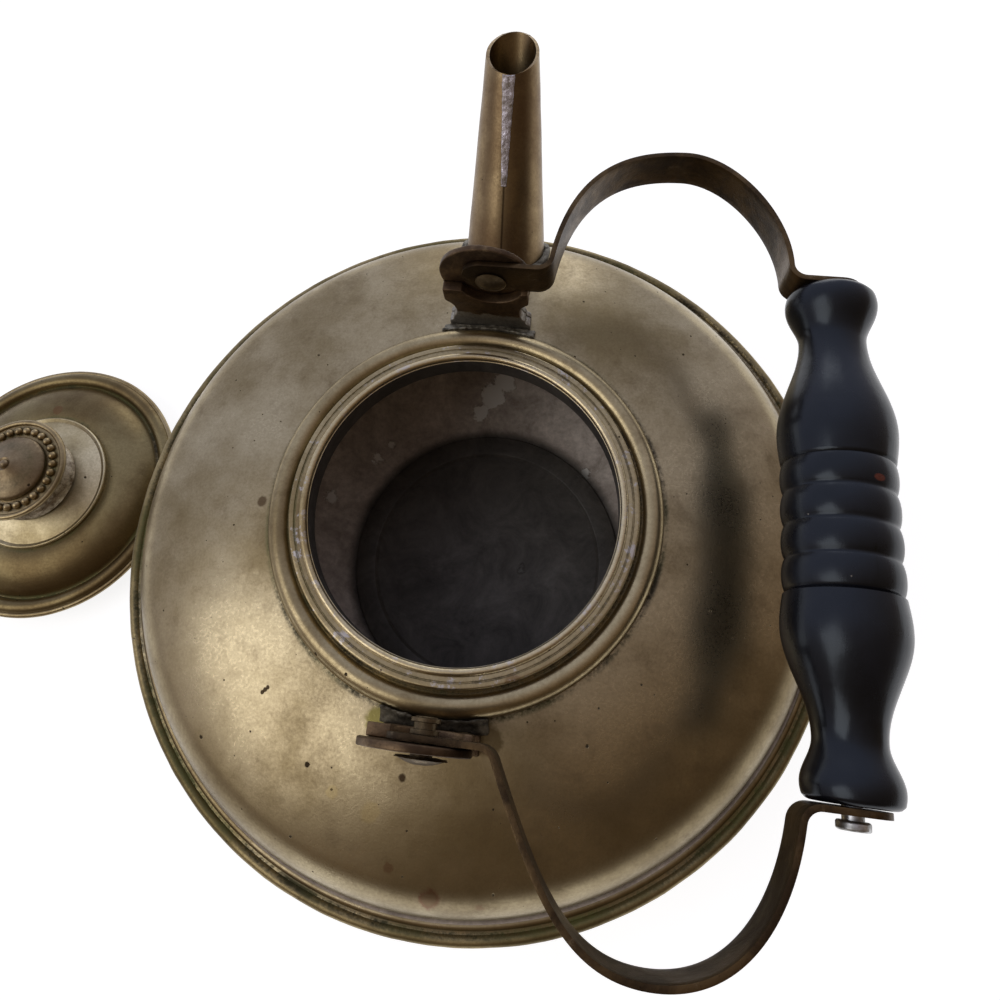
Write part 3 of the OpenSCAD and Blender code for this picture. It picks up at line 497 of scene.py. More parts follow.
roll = spun("kettle_rim_roll", [(ROLL_X + ROLL_R * math.cos(math.radians(t)),
                                 RIM_Z + ROLL_R * math.sin(math.radians(t)))
                                for t in range(-160, 161, 10)]
            + [(ROLL_X - 0.25, RIM_Z + 0.5), (ROLL_X - 0.25, RIM_Z - 0.5)], 288)
dented(roll, 0.22, 6)
roll.data.materials.append(aged_brass("worn brass of the rim", "#a5946c", "#6f6342", "#3d3119", 0.33,
                                      rings=((92.6, 1.5, 41.0, 1.0),)))
cut(roll, lap_saw(ROLL_X + 1.2, RIM_Z, 2.4, 204))
smooth(roll)
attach(roll, "kettle")
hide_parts("rim_roll")

# Neck: a heavier spun collar soldered on the dome, with a flat seat for the
# lid, a fine groove and one bold half-round moulding.
SEAT_Z, LIP_R = 69.8, 0.95
LIP_X = NECK_R + LIP_R + 0.1
SEAT_OUT = 42.05
COLLAR_X, MOULD_X, MOULD_Z, MOULD_R = 38.42, 45.2, 66.0, 2.8
collar = spun("neck_collar",
              [(COLLAR_X, 63.6), (COLLAR_X, 69.2), (LIP_X + 0.6, 69.3), (LIP_X + 0.75, SEAT_Z - 0.05),
               (39.7, SEAT_Z), (40.35, SEAT_Z), (40.5, SEAT_Z - 0.18), (40.65, SEAT_Z - 0.18),
               (40.8, SEAT_Z), (41.5, SEAT_Z)]
              + arc(SEAT_OUT - 0.45, SEAT_Z - 0.45, 0.45, 20, 90, 5)
              + [(SEAT_OUT, 68.2), (42.12, 67.5), (42.35, 67.25), (42.55, 67.4)]
              + arc(MOULD_X, MOULD_Z, MOULD_R, -58, 104, 26)
              + [(47.6, 64.9), (47.2, 64.6), (44, 65.6), (40, 66)], 224)
collar.data.materials.append(aged_brass("aged brass of the neck", "#b5a682", "#857554", "#534028", 0.25,
                                        rings=((42.35, 1.0, 67.4, 1.0), (40.55, 0.5, SEAT_Z, 0.7),
                                               (47.9, 1.5, 65.0, 0.9)), lines=0.5, crumbs=0.7))
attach(collar, "kettle")
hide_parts("neck_collar")

# Lip of the neck: the sleeve's edge rolled outwards, rubbed bright by the lid
# going in and out.
SLEEVE_LOW = 63.2
lip = spun("neck_lip", [(NECK_R, SLEEVE_LOW), (NECK_R, 69.4)] + arc(LIP_X, SEAT_Z, LIP_R, -112, 128, 22)
           + [(NECK_R + SLEEVE, 69.0), (NECK_R + SLEEVE, SLEEVE_LOW)], 224)
dented(lip, 0.1, 7)
lip.data.materials.append(aged_brass("rubbed brass of the lip", "#d6c7a2", "#a9966c", "#5f4a30", 0.24,
                                     rings=((39.5, 0.5, SEAT_Z, 0.8),), lines=0.4, crumbs=0.5))
inner_faces(lip, tinning, centre=(0, 0, 0.066))
for face in lip.data.polygons:
    if face.center.z > 0.0690:
        face.material_index = 0
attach(lip, "kettle")
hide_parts("neck_lip")

# Spout: a straight cone rolled from sheet, its seam on the upper side, its
# mouth filed a little off level, soldered over the hole in the dome.
spout = spun("spout_tube", [(SPOUT_R0 - spout_taper * s, s) for s in range(-16, 68, 2)], 128, closed=False)
along_spout(spout)
only(spout)
bpy.ops.object.mode_set(mode="EDIT")
bpy.ops.mesh.select_all(action="SELECT")
up = Matrix.Rotation(math.radians(SPOUT_A - 90), 3, "X")
mouth = Vector((0, SPOUT_Y, SPOUT_Z)) * MM + up @ Vector((0, 0, SPOUT_LEN * MM))
facing = up @ Matrix.Rotation(math.radians(90 - SPOUT_A - 7), 3, "X") @ Vector((0, 0, 1))
bpy.ops.mesh.bisect(plane_co=mouth, plane_no=facing, clear_outer=True, clear_inner=False)
bpy.ops.object.mode_set(mode="OBJECT")
INSET = SHEET / 2
filling = spun("filling", [(0, 20), (SKIRT_R - INSET, 20)]
               + arc(SHOULDER_X, EDGE_Z, SHOULDER_R - INSET, 90, SHOULDER_A, 24)
               + arc(DOME_X, DOME_Z, DOME_R - INSET, SHOULDER_A, hole - 20, 24) + [(0, 70)], 128, closed=False)
modify(spout, "SOLIDIFY", thickness=SPOUT_WALL * MM, offset=-1, use_rim=True)
cut(spout, filling)
dented(spout, 0.2, 9)
smooth(spout)
spout.data.materials.append(aged_brass("aged brass of the spout", "#9f8c6a", "#746046", "#4b3626", 0.26,
                                       lines=0.1, seam=(SPOUT_Y, SPOUT_Z, math.tan(math.radians(SPOUT_A)))))
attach(spout, "kettle")
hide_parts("spout")

# Solder: soft tin-lead run along the spout's seam and round its root, and
# wiped roughly round the feet of the brackets.


def solder_metal(name, light, dark, rough, metal):
    """Old soft solder, lumpy from the iron. It gives a pale silvery grey with a
    lilac tinge, dull in its hollows where dirt stays."""
    material, tree, shader, place = blank(name)
    lumps = add(tree, "ShaderNodeTexNoise", {}, {"Vector": place, "Scale": every(2.4),
                "Detail": 6, "Roughness": 0.7})
    grit = add(tree, "ShaderNodeTexNoise", {}, {"Vector": place, "Scale": every(0.5),
               "Detail": 3})
    level = add(tree, "ShaderNodeMapRange", {}, {0: lumps.outputs[0], 1: 0.36, 2: 0.64})
    colour = add(tree, "ShaderNodeMix", {"data_type": "RGBA"},
                 {0: level.outputs[0], 6: linear(dark), 7: linear(light)})
    tree.links.new(colour.outputs[2], shader.inputs["Base Color"])
    shader.inputs["Metallic"].default_value = metal
    dull = add(tree, "ShaderNodeMapRange", {},
               {0: lumps.outputs[0], 1: 0.3, 2: 0.7, 3: rough + 0.15, 4: rough - 0.1})
    tree.links.new(dull.outputs[0], shader.inputs["Roughness"])
    bump = add(tree, "ShaderNodeBump", {}, {"Strength": 0.7, "Distance": 0.0003, "Height": lumps.outputs[0]})
    bump = add(tree, "ShaderNodeBump", {}, {"Strength": 0.5, "Distance": 0.00006, "Height": grit.outputs[0],
               "Normal": bump.outputs[0]})
    tree.links.new(bump.outputs[0], shader.inputs["Normal"])
    return material


def lumpy(node, name, grain, strength, size):
    """A rough cast of a node: its mesh joined up, remade in fine cells and dented"""
    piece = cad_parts[node].copy()
    piece.data = piece.data.copy()
    piece.name = name
    piece.data.materials.clear()
    bpy.context.scene.collection.objects.link(piece)
    for key in list(piece.keys()):
        del piece[key]
    only(piece)
    bpy.ops.object.mode_set(mode="EDIT")
    bpy.ops.mesh.select_all(action="SELECT")
    bpy.ops.mesh.remove_doubles(threshold=0.00001)
    bpy.ops.object.mode_set(mode="OBJECT")
    modify(piece, "REMESH", mode="VOXEL", voxel_size=grain * MM)
    dented(piece, strength, size)
    only(piece)
    bpy.ops.object.shade_smooth()
    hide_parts(node)
    return piece


silver = solder_metal("silvery soft solder", "#c9c4cf", "#7e7468", 0.38, 0.85)
grey = solder_metal("dull old solder", "#8d897b", "#3a3426", 0.6, 0.4)
# The back foot's solder is dull old solder made darker still: painted shade from the bracket and strap above
# it
shaded_solder = solder_metal("old solder darkened with painted shade", "#6a6352", "#2b2519", 0.6, 0.5)
seam = lumpy("spout_seam", "spout_seam_solder", 0.18, 0.3, 2.2)
seam.data.materials.append(silver)
root = lumpy("spout_root", "spout_root_solder", 0.35, 0.5, 3)
root.data.materials.append(grey)
foot_front = lumpy("foot_solder_front", "front_foot_solder", 0.3, 0.9, 2.4)
foot_front.data.materials.append(grey)
foot_back = lumpy("foot_solder_back", "back_foot_solder", 0.3, 0.9, 2.4)
foot_back.data.materials.append(shaded_solder)
for piece in (seam, root, foot_front, foot_back):
    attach(piece, "kettle")

# Brackets: two stout cast brass plates on the neck moulding, each with a round
# ear, a waist and a foot whose scroll tips also stop the bail.
PIVOT_X, PIVOT_Z, STRAP_Y, STRAP_T = 1.6, 86.0, 51.3, 1.2
EAR_T, EAR_R, CLEAR = 1.6, 11.3, 0.3
EAR_Y = STRAP_Y + STRAP_T + CLEAR
EAR_BACK = EAR_Y + EAR_T
REST_Z = PIVOT_Z - 3.45


def plate_of(name, outline, near, far, edge):
    """A plate cut to an outline of (x, height), between two places along Y"""
    piece = drawn(name, [(x, near, z) for x, z in outline + outline[:1]])
    bpy.ops.mesh.select_all(action="SELECT")
    bpy.ops.mesh.remove_doubles(threshold=0.000004)
    bpy.ops.mesh.edge_face_add()
    bpy.ops.mesh.extrude_region_move(TRANSFORM_OT_translate={"value": (0, (far - near) * MM, 0)})
    bpy.ops.mesh.select_all(action="SELECT")
    bpy.ops.mesh.normals_make_consistent(inside=False)
    bpy.ops.object.mode_set(mode="OBJECT")
    modify(piece, "BEVEL", width=edge * MM, segments=3, limit_method="ANGLE", angle_limit=math.radians(40))
    smooth(piece, 40)
    return piece


def old_bronze(name, light, dark, edge, rough, tinned_below=0):
    """Cast or rolled brass gone brown with handling. It gives a dark satin brown
    with dark grit, scuffs, and a grainy surface from the casting sand."""
    material, tree, shader, place = blank(name)
    patches = add(tree, "ShaderNodeTexNoise", {}, {"Vector": place, "Scale": every(12),
                  "Detail": 6, "Roughness": 0.68, "Distortion": 0.4})
    sand = add(tree, "ShaderNodeTexNoise", {}, {"Vector": place, "Scale": every(0.7),
               "Detail": 4, "Roughness": 0.7})
    scuffs = add(tree, "ShaderNodeTexNoise", {}, {"Vector": place, "Scale": every(6),
                 "Detail": 8, "Roughness": 0.75})
    patch = add(tree, "ShaderNodeMapRange", {"interpolation_type": "SMOOTHSTEP"},
                {0: patches.outputs[0], 1: 0.36, 2: 0.64})
    colour = add(tree, "ShaderNodeMix", {"data_type": "RGBA"},
                 {0: patch.outputs[0], 6: linear(dark), 7: linear(light)})
    scuff = add(tree, "ShaderNodeMapRange", {}, {0: scuffs.outputs[0], 1: 0.6, 2: 0.72, 4: 0.75})
    colour = add(tree, "ShaderNodeMix", {"data_type": "RGBA"},
                 {0: scuff.outputs[0], 6: colour.outputs[2], 7: linear(edge)})
    dirt = add(tree, "ShaderNodeMapRange", {}, {0: sand.outputs[0], 1: 0.58, 2: 0.72, 4: 0.6})
    colour = add(tree, "ShaderNodeMix", {"data_type": "RGBA"},
                 {0: dirt.outputs[0], 6: colour.outputs[2], 7: linear("#1d1710")})
    if tinned_below:
        split = add(tree, "ShaderNodeSeparateXYZ", {}, {0: place})
        ragged = add(tree, "ShaderNodeMath", {"operation": "MULTIPLY_ADD"},
                     {0: scuffs.outputs[0], 1: 0.006, 2: split.outputs[2]})
        wiped = add(tree, "ShaderNodeMapRange", {}, {0: ragged.outputs[0], 1: (tinned_below + 3.4) * MM,
                    2: (tinned_below + 2.6) * MM, 4: 0.9})
        pale = add(tree, "ShaderNodeMix", {"data_type": "RGBA"},
                   {0: sand.outputs[0], 6: linear("#3f3c34"), 7: linear("#c9c5bb")})
        colour = add(tree, "ShaderNodeMix", {"data_type": "RGBA"},
                     {0: wiped.outputs[0], 6: colour.outputs[2], 7: pale.outputs[2]})
    tree.links.new(colour.outputs[2], shader.inputs["Base Color"])
    shader.inputs["Metallic"].default_value = 0.9
    dull = add(tree, "ShaderNodeMapRange", {},
               {0: patches.outputs[0], 1: 0.3, 2: 0.7, 3: rough + 0.12, 4: rough - 0.05})
    tree.links.new(dull.outputs[0], shader.inputs["Roughness"])
    bump = add(tree, "ShaderNodeBump", {}, {"Strength": 0.5, "Distance": 0.00012, "Height": sand.outputs[0]})
    bump = add(tree, "ShaderNodeBump", {}, {"Strength": 0.5, "Distance": 0.0004, "Height": patches.outputs[0],
               "Normal": bump.outputs[0]})
    tree.links.new(bump.outputs[0], shader.inputs["Normal"])
    return material


cast = old_bronze("dark cast brass", "#766148", "#453628", "#9a8766", 0.42)
tinned_cast = old_bronze("dark cast brass with old tinning", "#766148", "#453628", "#9a8766", 0.42,
                         tinned_below=71.5)
half_foot, low, foot_top = 10.75, 62.4, 66.4


def waist(side):
    """One edge of a bracket, from its foot up to the scroll tip"""
    points = [(half_foot, low), (half_foot, foot_top)] + arc(half_foot + 0.3, 68.2, 1.5, 200, 262, 4)
    points += arc(14.2, 72.6, 6, -128, -40, 12) + [(half_foot, 77.6), (half_foot, REST_Z)]
    return [(side * x, z) for x, z in points]


ear = arc(0, PIVOT_Z, EAR_R, -106, 106, 52)
ear_outline = waist(-1)[:-1] + ear + waist(1)[-2::-1]
below = arc(PIVOT_X, PIVOT_Z, 8.23, 245, 115, 20)
rest_outline = waist(-1) + below + waist(1)[::-1]
for side, end in ((1, "front"), (-1, "back")):
    ear_plate = plate_of(f"bracket_{end}_ear", ear_outline, side * EAR_Y, side * EAR_BACK, 0.35)
    foot_plate = plate_of(f"bracket_{end}_foot", rest_outline, side * (STRAP_Y - 1.2), side * EAR_Y, 0.3)
    for piece in (ear_plate, foot_plate):
        dented(piece, 0.25, 4)
        piece.data.materials.append(tinned_cast if end == "front" else cast)
        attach(piece, "kettle")
        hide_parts(f"bracket_{end}")

# Rivets on which the bail swings: brass pins hammered over, the front one
# worn to a raised rim round a dish, the back one broad with a loose washer.
for side, end, head, thick in ((1, "front", 3.9, 1.4), (-1, "back", 5.3, 1.4)):
    bend = (head * head + thick * thick) / (2 * thick)
    spread = math.degrees(math.asin(head / bend))
    if end == "front":
        outline = [(0, -0.7), (2.2, -0.7), (2.2, 2.6 + 0.6)] + [(head - 0.2, 3.1), (head, 3.4)]
        outline += [(head, 3.9), (head - 0.2, 4.25), (head - 0.6, 4.45), (head - 1.1, 4.35),
                    (head - 1.8, 3.95), (1, 3.75), (0, 3.75)]
        inner = arc(0, -0.12 - thick + bend, bend, 180, 180 - spread + 2, 14)
        outline = inner + [(head, -0.35), (head - 0.2, -0.12)] + [(2.2, -0.12), (2.2, 3.1)] + outline[3:]
    else:
        outline = [(0, -3.4), (2.0, -3.4), (2.2, -3.2), (2.9, -3.1), (2.9, -2.4), (2.2, -2.3), (2.2, -1.1),
                   (2.9, -1.0), (2.9, -0.2), (2.2, -0.12), (2.2, 3.9), (head - 0.3, 3.9), (head, 4.2)]
        outline += arc(0, 3.9 + thick - bend, bend, spread - 2, 0, 14)
    rivet = spun(f"pivot_rivet_{end}", outline, 72, closed=False)
    dented(rivet, 0.25, 3)
    only(rivet)
    rivet.rotation_euler = (math.radians(-90 * side), 0, 0)
    rivet.location = (PIVOT_X * MM, side * STRAP_Y * MM, PIVOT_Z * MM)
    bpy.ops.object.transform_apply(location=True, rotation=True)
    rivet.data.materials.append(old_bronze(f"worn rivet brass {end}", "#8d7d60" if side > 0 else "#6a5b43",
                                           "#544733", "#b5a587", 0.36))
    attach(rivet, "kettle")
    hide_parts(f"rivet_{end}")

# Bail: two flat rolled straps, each bent outwards into a bow, rounded at both
# ends and drilled for the rivet and for the grip's rod.
STRAP_W, REACH, TAIL, TAB = 10.5, 80.2, 7, 6.2
RUN, BEND = 11.4, 3.4
STRAP_Z = PIVOT_Z + 1.9
TAB_Y = 53.3 + 0.3 + STRAP_T / 2
bronze = old_bronze("brown strap bronze", "#5c4a31", "#372b1d", "#80715a", 0.36)


def bow(crest, rise, fall, end, reach):
    """Middle line of a strap from tail to tab, seen from above, from the pivot.
    Crest is its widest point, rise and fall the bends' angles, reach the curve's handles."""
    flat_y = STRAP_Y + 0.6
    start = (RUN + BEND * math.sin(math.radians(rise)), flat_y + BEND * (1 - math.cos(math.radians(rise))))
    stop = (end, TAB_Y + BEND * (1 - math.cos(math.radians(fall))))
    line = [(x * 0.5 - TAIL, flat_y) for x in range(37)]
    line += [(RUN + BEND * math.sin(math.radians(t)), flat_y + BEND * (1 - math.cos(math.radians(t))))
             for t in [rise * i / 8 for i in range(9)]]
    turn_out = (math.cos(math.radians(rise)), math.sin(math.radians(rise)))
    turn_in = (-math.cos(math.radians(fall)), math.sin(math.radians(fall)))
    leaving = [start[k] + reach[0] * turn_out[k] for k in (0, 1)]
    arriving = [stop[k] + reach[3] * turn_in[k] for k in (0, 1)]
    steps = 44
    for a, b, c, d in ((start, leaving, (crest[0] - reach[1], crest[1]), crest),
                       (crest, (crest[0] + reach[2], crest[1]), arriving, stop)):
        for i in range(1, steps + 1):
            t = i / steps
            line.append(tuple((1 - t) ** 3 * a[k] + 3 * (1 - t) ** 2 * t * b[k] + 3 * (1 - t) * t * t * c[k]
                              + t ** 3 * d[k] for k in (0, 1)))
    line += [(end + BEND * (math.sin(math.radians(fall)) - math.sin(math.radians(t))),
              TAB_Y + BEND * (1 - math.cos(math.radians(t))))
             for t in [fall * (1 - i / 8) for i in range(1, 9)]]
    last = line[-1][0]
    line += [(last + (REACH + TAB - last) * i / 26, TAB_Y) for i in range(1, 27)]
    return line


for side, end, line in ((1, "front", bow((45.2, 87.2), 83, 87, REACH - 10.3, (26.2, 14.3, 11.6, 14))),
                        (-1, "back", bow((44.3, 84.4), 64, 81, REACH - 10.6, (22.4, 14, 15, 14.8)))):
    arm = drawn(f"bail_arm_{end}", [(x + PIVOT_X, side * y, STRAP_Z - STRAP_W / 2) for x, y in line])
    for rung in range(6):
        bpy.ops.mesh.select_all(action="DESELECT")
        bpy.ops.object.mode_set(mode="OBJECT")
        level = (STRAP_Z - STRAP_W / 2 + STRAP_W * rung / 6) * MM
        for point in arm.data.vertices:
            point.select = abs(point.co.z - level) < 1e-5
        bpy.ops.object.mode_set(mode="EDIT")
        bpy.ops.mesh.select_mode(type="VERT")
        bpy.ops.mesh.extrude_region_move(TRANSFORM_OT_translate={"value": (0, 0, STRAP_W / 6 * MM)})
    bpy.ops.object.mode_set(mode="OBJECT")
    # The ends are rounded by drawing the rows in towards the middle
    for point in arm.data.vertices:
        x = point.co.x / MM - PIVOT_X
        away = min(x + TAIL, REACH + TAB - x)
        if away < STRAP_W / 2:
            inward = STRAP_W / 2 - max(away, 0)
            point.co.z = STRAP_Z * MM + (point.co.z - STRAP_Z * MM) * math.sqrt(
                max(1 - (inward / (STRAP_W / 2)) ** 2, 0.002))
    only(arm)
    bpy.ops.object.mode_set(mode="EDIT")
    bpy.ops.mesh.select_all(action="SELECT")
    bpy.ops.mesh.normals_make_consistent(inside=False)
    bpy.ops.object.mode_set(mode="OBJECT")
    modify(arm, "SOLIDIFY", thickness=STRAP_T * MM, offset=0)
    modify(arm, "BEVEL", width=0.28 * MM, segments=3, limit_method="ANGLE", angle_limit=math.radians(50))
    for x, radius in ((0, 2.26), (REACH, 2.05)):
        bpy.ops.object.select_all(action="DESELECT")
        bpy.ops.mesh.primitive_cylinder_add(
            vertices=48, radius=radius * MM, depth=0.02, rotation=(math.pi / 2, 0, 0),
            location=((PIVOT_X + x) * MM, side * (STRAP_Y + 1) * MM, PIVOT_Z * MM))
        bit = bpy.context.object
        cut(arm, bit)
    smooth(arm, 40)
    arm.data.materials.append(bronze)
    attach(arm, "bail")
    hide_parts(f"arm_{end}")

# Rod through the grip: zinc-plated steel wire with a small cheese head that
# stands proud at the back, and its front end riveted over the strap.
zinc, tree, shader, place = blank("zinc-plated steel")
bloom = add(tree, "ShaderNodeTexNoise", {}, {"Vector": place, "Scale": every(1.8), "Detail": 5})
level = add(tree, "ShaderNodeMapRange", {}, {0: bloom.outputs[0], 1: 0.35, 2: 0.65})
colour = add(tree, "ShaderNodeMix", {"data_type": "RGBA"},
             {0: level.outputs[0], 6: linear("#8c8b87"), 7: linear("#c9cacb")})
tree.links.new(colour.outputs[2], shader.inputs["Base Color"])
shader.inputs["Metallic"].default_value = 1
dull = add(tree, "ShaderNodeMapRange", {}, {0: bloom.outputs[0], 1: 0.3, 2: 0.7, 3: 0.5, 4: 0.3})
tree.links.new(dull.outputs[0], shader.inputs["Roughness"])
bump = add(tree, "ShaderNodeBump", {}, {"Strength": 0.4, "Distance": 0.0001, "Height": bloom.outputs[0]})
tree.links.new(bump.outputs[0], shader.inputs["Normal"])
for node, body in (("grip_rod", "bail"), ("rod_head_back", "bail")):
    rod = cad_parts[node]
    rod.data.materials.clear()
    rod.data.materials.append(zinc)
end_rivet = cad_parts["rod_head_front"]
end_rivet.data.materials.clear()
end_rivet.data.materials.append(bronze)

# Grip: turned hardwood, stained black and varnished, with four beads in the
# middle, a swell on each side and a collar at each end.
GRIP_LEN, BEAD_SHIFT, PITCH, BEAD_R, GROOVE, BELLY_R = 106.6, 1.9, 6.9, 11.8, 0.9, 12.3


def ease(a, b, t):
    """Soft way from a to b while t goes from 0 to 1"""
    return a + (b - a) * (1 - math.cos(math.pi * min(1, max(0, t)))) / 2


def grip_radius(y):
    """Radius of the turned grip at y, front half positive"""
    side = 1 if y >= -BEAD_SHIFT else -1
    v = side * y + side * BEAD_SHIFT
    waist_y = (GRIP_LEN / 2 - 12.3 + BEAD_SHIFT) if side > 0 else (GRIP_LEN / 2 - 10.8 - BEAD_SHIFT)
    waist_r, end_r = (7.2, 10.0) if side > 0 else (6.8, 9.2)
    collar_y = GRIP_LEN / 2 - 2.9 + side * BEAD_SHIFT
    belly_y = 2 * PITCH + 6.5
    if v < 2 * PITCH:
        return BEAD_R - GROOVE + GROOVE * math.sqrt(abs(math.sin(math.pi * (v + 2 * PITCH) / PITCH)))
    if v < belly_y:
        return ease(BEAD_R - GROOVE, BELLY_R, 0.5 + (v - 2 * PITCH) / (2 * belly_y - 4 * PITCH))
    if v < waist_y:
        return ease(BELLY_R, waist_r, (v - belly_y) / (waist_y - belly_y))
    if v < collar_y:
        return ease(waist_r, end_r, (v - waist_y) / (collar_y - waist_y))
    return end_r - 0.08 * (v - collar_y) ** 2


half = GRIP_LEN / 2
grip_outline = [(grip_radius(-half + i * 0.4), -half + i * 0.4) for i in range(2, 265)]
grip_outline = ([(2.06, -half), (grip_radius(-half) - 1.0, -half), (grip_radius(-half) - 0.35, -half + 0.2)]
                + grip_outline
                + [(grip_radius(half) - 0.35, half - 0.15), (grip_radius(half) - 1.0, half), (2.06, half)])
grip = spun("turned_grip", grip_outline, 112, angle=50)
dented(grip, 0.16, 14)
only(grip)
grip.rotation_euler = (math.radians(-90), 0, 0)
grip.location = ((PIVOT_X + REACH) * MM, 0, PIVOT_Z * MM)
bpy.ops.object.transform_apply(location=True, rotation=True)
# Varnished black stain: near black with a bluish gloss, faint grain along the
# turning axis, dust in the grooves, chips down to reddish wood.
ebonised, tree, shader, place = blank("ebonised varnished hardwood")
along = add(tree, "ShaderNodeMapping", {}, {0: place, 3: (1, 0.06, 1)})
grain = add(tree, "ShaderNodeTexNoise", {}, {"Vector": along.outputs[0], "Scale": every(0.8), "Detail": 4})
rubbed = add(tree, "ShaderNodeTexNoise", {}, {"Vector": place, "Scale": every(16), "Detail": 5,
             "Roughness": 0.6})
dust = add(tree, "ShaderNodeTexVoronoi", {}, {"Vector": place, "Scale": every(3.2)})
chance = add(tree, "ShaderNodeSeparateColor", {}, {0: dust.outputs["Color"]})
near = add(tree, "ShaderNodeMath", {"operation": "LESS_THAN"}, {0: dust.outputs["Distance"], 1: 0.055})
some = add(tree, "ShaderNodeMath", {"operation": "GREATER_THAN"}, {0: chance.outputs[0], 1: 0.86})
mote = add(tree, "ShaderNodeMath", {"operation": "MULTIPLY"}, {0: near.outputs[0], 1: some.outputs[0]})
tone = add(tree, "ShaderNodeMapRange", {}, {0: rubbed.outputs[0], 1: 0.35, 2: 0.7})
colour = add(tree, "ShaderNodeMix", {"data_type": "RGBA"},
             {0: tone.outputs[0], 6: linear("#08080b"), 7: linear("#121319")})
colour = add(tree, "ShaderNodeMix", {"data_type": "RGBA"},
             {0: mote.outputs[0], 6: colour.outputs[2], 7: linear("#6d675f")})
# A chip down to the reddish wood and a fine drying crack beside the beads
for at, size, tint in (((86.5, 6.6, 96.6), (1.3, 0.7, 1.3), "#5a2c20"),
                       ((84.7, -10.3, 97.2), (0.35, 3.4, 0.35), "#020202")):
    off = add(tree, "ShaderNodeVectorMath", {"operation": "SUBTRACT"}, {0: place, 1: [c * MM for c in at]})
    near = add(tree, "ShaderNodeVectorMath", {"operation": "DIVIDE"},
               {0: off.outputs[0], 1: [c * MM for c in size]})
    gap = add(tree, "ShaderNodeVectorMath", {"operation": "LENGTH"}, {0: near.outputs[0]})
    there = add(tree, "ShaderNodeMapRange", {}, {0: gap.outputs["Value"], 1: 1.15, 2: 0.85})
    colour = add(tree, "ShaderNodeMix", {"data_type": "RGBA"},
                 {0: there.outputs[0], 6: colour.outputs[2], 7: linear(tint)})
tree.links.new(colour.outputs[2], shader.inputs["Base Color"])
rough = add(tree, "ShaderNodeMapRange", {}, {0: rubbed.outputs[0], 1: 0.3, 2: 0.7, 3: 0.18, 4: 0.34})
tree.links.new(rough.outputs[0], shader.inputs["Roughness"])
shader.inputs["IOR"].default_value = 1.42
shader.inputs["Specular Tint"].default_value = (0.8, 0.9, 1, 1)
bump = add(tree, "ShaderNodeBump", {}, {"Strength": 0.25, "Distance": 0.00008, "Height": grain.outputs[0]})
bump = add(tree, "ShaderNodeBump", {}, {"Strength": 0.4, "Distance": 0.0003, "Height": rubbed.outputs[0],
           "Normal": bump.outputs[0]})
tree.links.new(bump.outputs[0], shader.inputs["Normal"])
grip.data.materials.append(ebonised)
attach(grip, "grip")
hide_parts("grip")

# Lid: spun brass, lying right way up beside the kettle. Its edge is rolled,
# with a raised band, a groove and a cushion that rises to the boss.
LID_X, LID_Y, LID_FLAT, LID_T = -147, 7.3, 7.4, 0.8
LID_EDGE_R = 0.9
LID_EDGE_X = 42.05 + 0.3 - LID_EDGE_R
BAND_OUT = LID_EDGE_X - 0.2
BAND_IN = BAND_OUT - 4.6
BOSS_R = 22
CUSHION_Z = LID_FLAT + LID_T + 5.6
cush_x = BAND_IN - 0.6
cush_mean = math.degrees(math.atan2(CUSHION_Z - LID_FLAT - LID_T, cush_x - BOSS_R))
cush_low = 2 * cush_mean - 52
cush_r = (cush_x - BOSS_R) / (math.sin(math.radians(52)) - math.sin(math.radians(cush_low)))
cush_cx = cush_x - cush_r * math.sin(math.radians(52))
cush_cz = LID_FLAT + LID_T - cush_r * math.cos(math.radians(52))
band_bend = (4.6 * 4.6 / 4 + 1.7 * 1.7) / (2 * 1.7)
band_mid = (BAND_IN + BAND_OUT) / 2


def on_lid(piece):
    """Moves a piece that stands on the origin to where the lid lies"""
    only(piece)
    piece.location = (LID_X * MM, LID_Y * MM, 0)
    bpy.ops.object.transform_apply(location=True)


band_half = math.degrees(math.asin(min(1, 2.25 / band_bend)))
shell = spun("lid_shell",
             [(4, CUSHION_Z - LID_T), (4, CUSHION_Z), (BOSS_R, CUSHION_Z)]
             + arc(cush_cx, cush_cz, cush_r, cush_low, 52, 24)
             + [(cush_x + 0.35, LID_FLAT + LID_T - 0.1)]
             + arc(band_mid, LID_FLAT + LID_T + 1.7 - band_bend, band_bend, -band_half, band_half, 16)
             + [(LID_EDGE_X - 0.1, LID_FLAT + LID_T - 0.1), (LID_EDGE_X - 0.1, LID_FLAT)]
             + [(cush_x, LID_FLAT)] + arc(cush_cx, cush_cz, cush_r - LID_T, 50, cush_low, 20)
             + [(BOSS_R - 0.4, CUSHION_Z - LID_T)], 192)
dented(shell, 0.12, 20)
on_lid(shell)
lid_at = (LID_X, LID_Y, 0)
lid_brass = aged_brass("aged spun brass of the lid", "#8f815c", "#69593c", "#453621", 0.27, centre=lid_at,
                       rings=((cush_x + 0.3, 1.2, LID_FLAT + LID_T, 1.0), (BOSS_R + 0.2, 1.4, CUSHION_Z, 0.7)),
                       lines=0.4)
shell.data.materials.append(lid_brass)
edge = spun("lid_edge", arc(LID_EDGE_X, LID_FLAT + LID_T / 2, LID_EDGE_R, 0, 345, 23), 192)
dented(edge, 0.14, 6)
on_lid(edge)
saw = lap_saw(LID_EDGE_X + 1, LID_FLAT, 2, -64)
on_lid(saw)
cut(edge, saw)
smooth(edge)
edge.data.materials.append(aged_brass("rubbed brass of the lid's edge", "#b8a882", "#877655", "#54422b", 0.27,
                                      centre=lid_at))
for piece, node in ((shell, "lid_shell"), (edge, "lid_edge")):
    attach(piece, "lid")
    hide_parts(node)

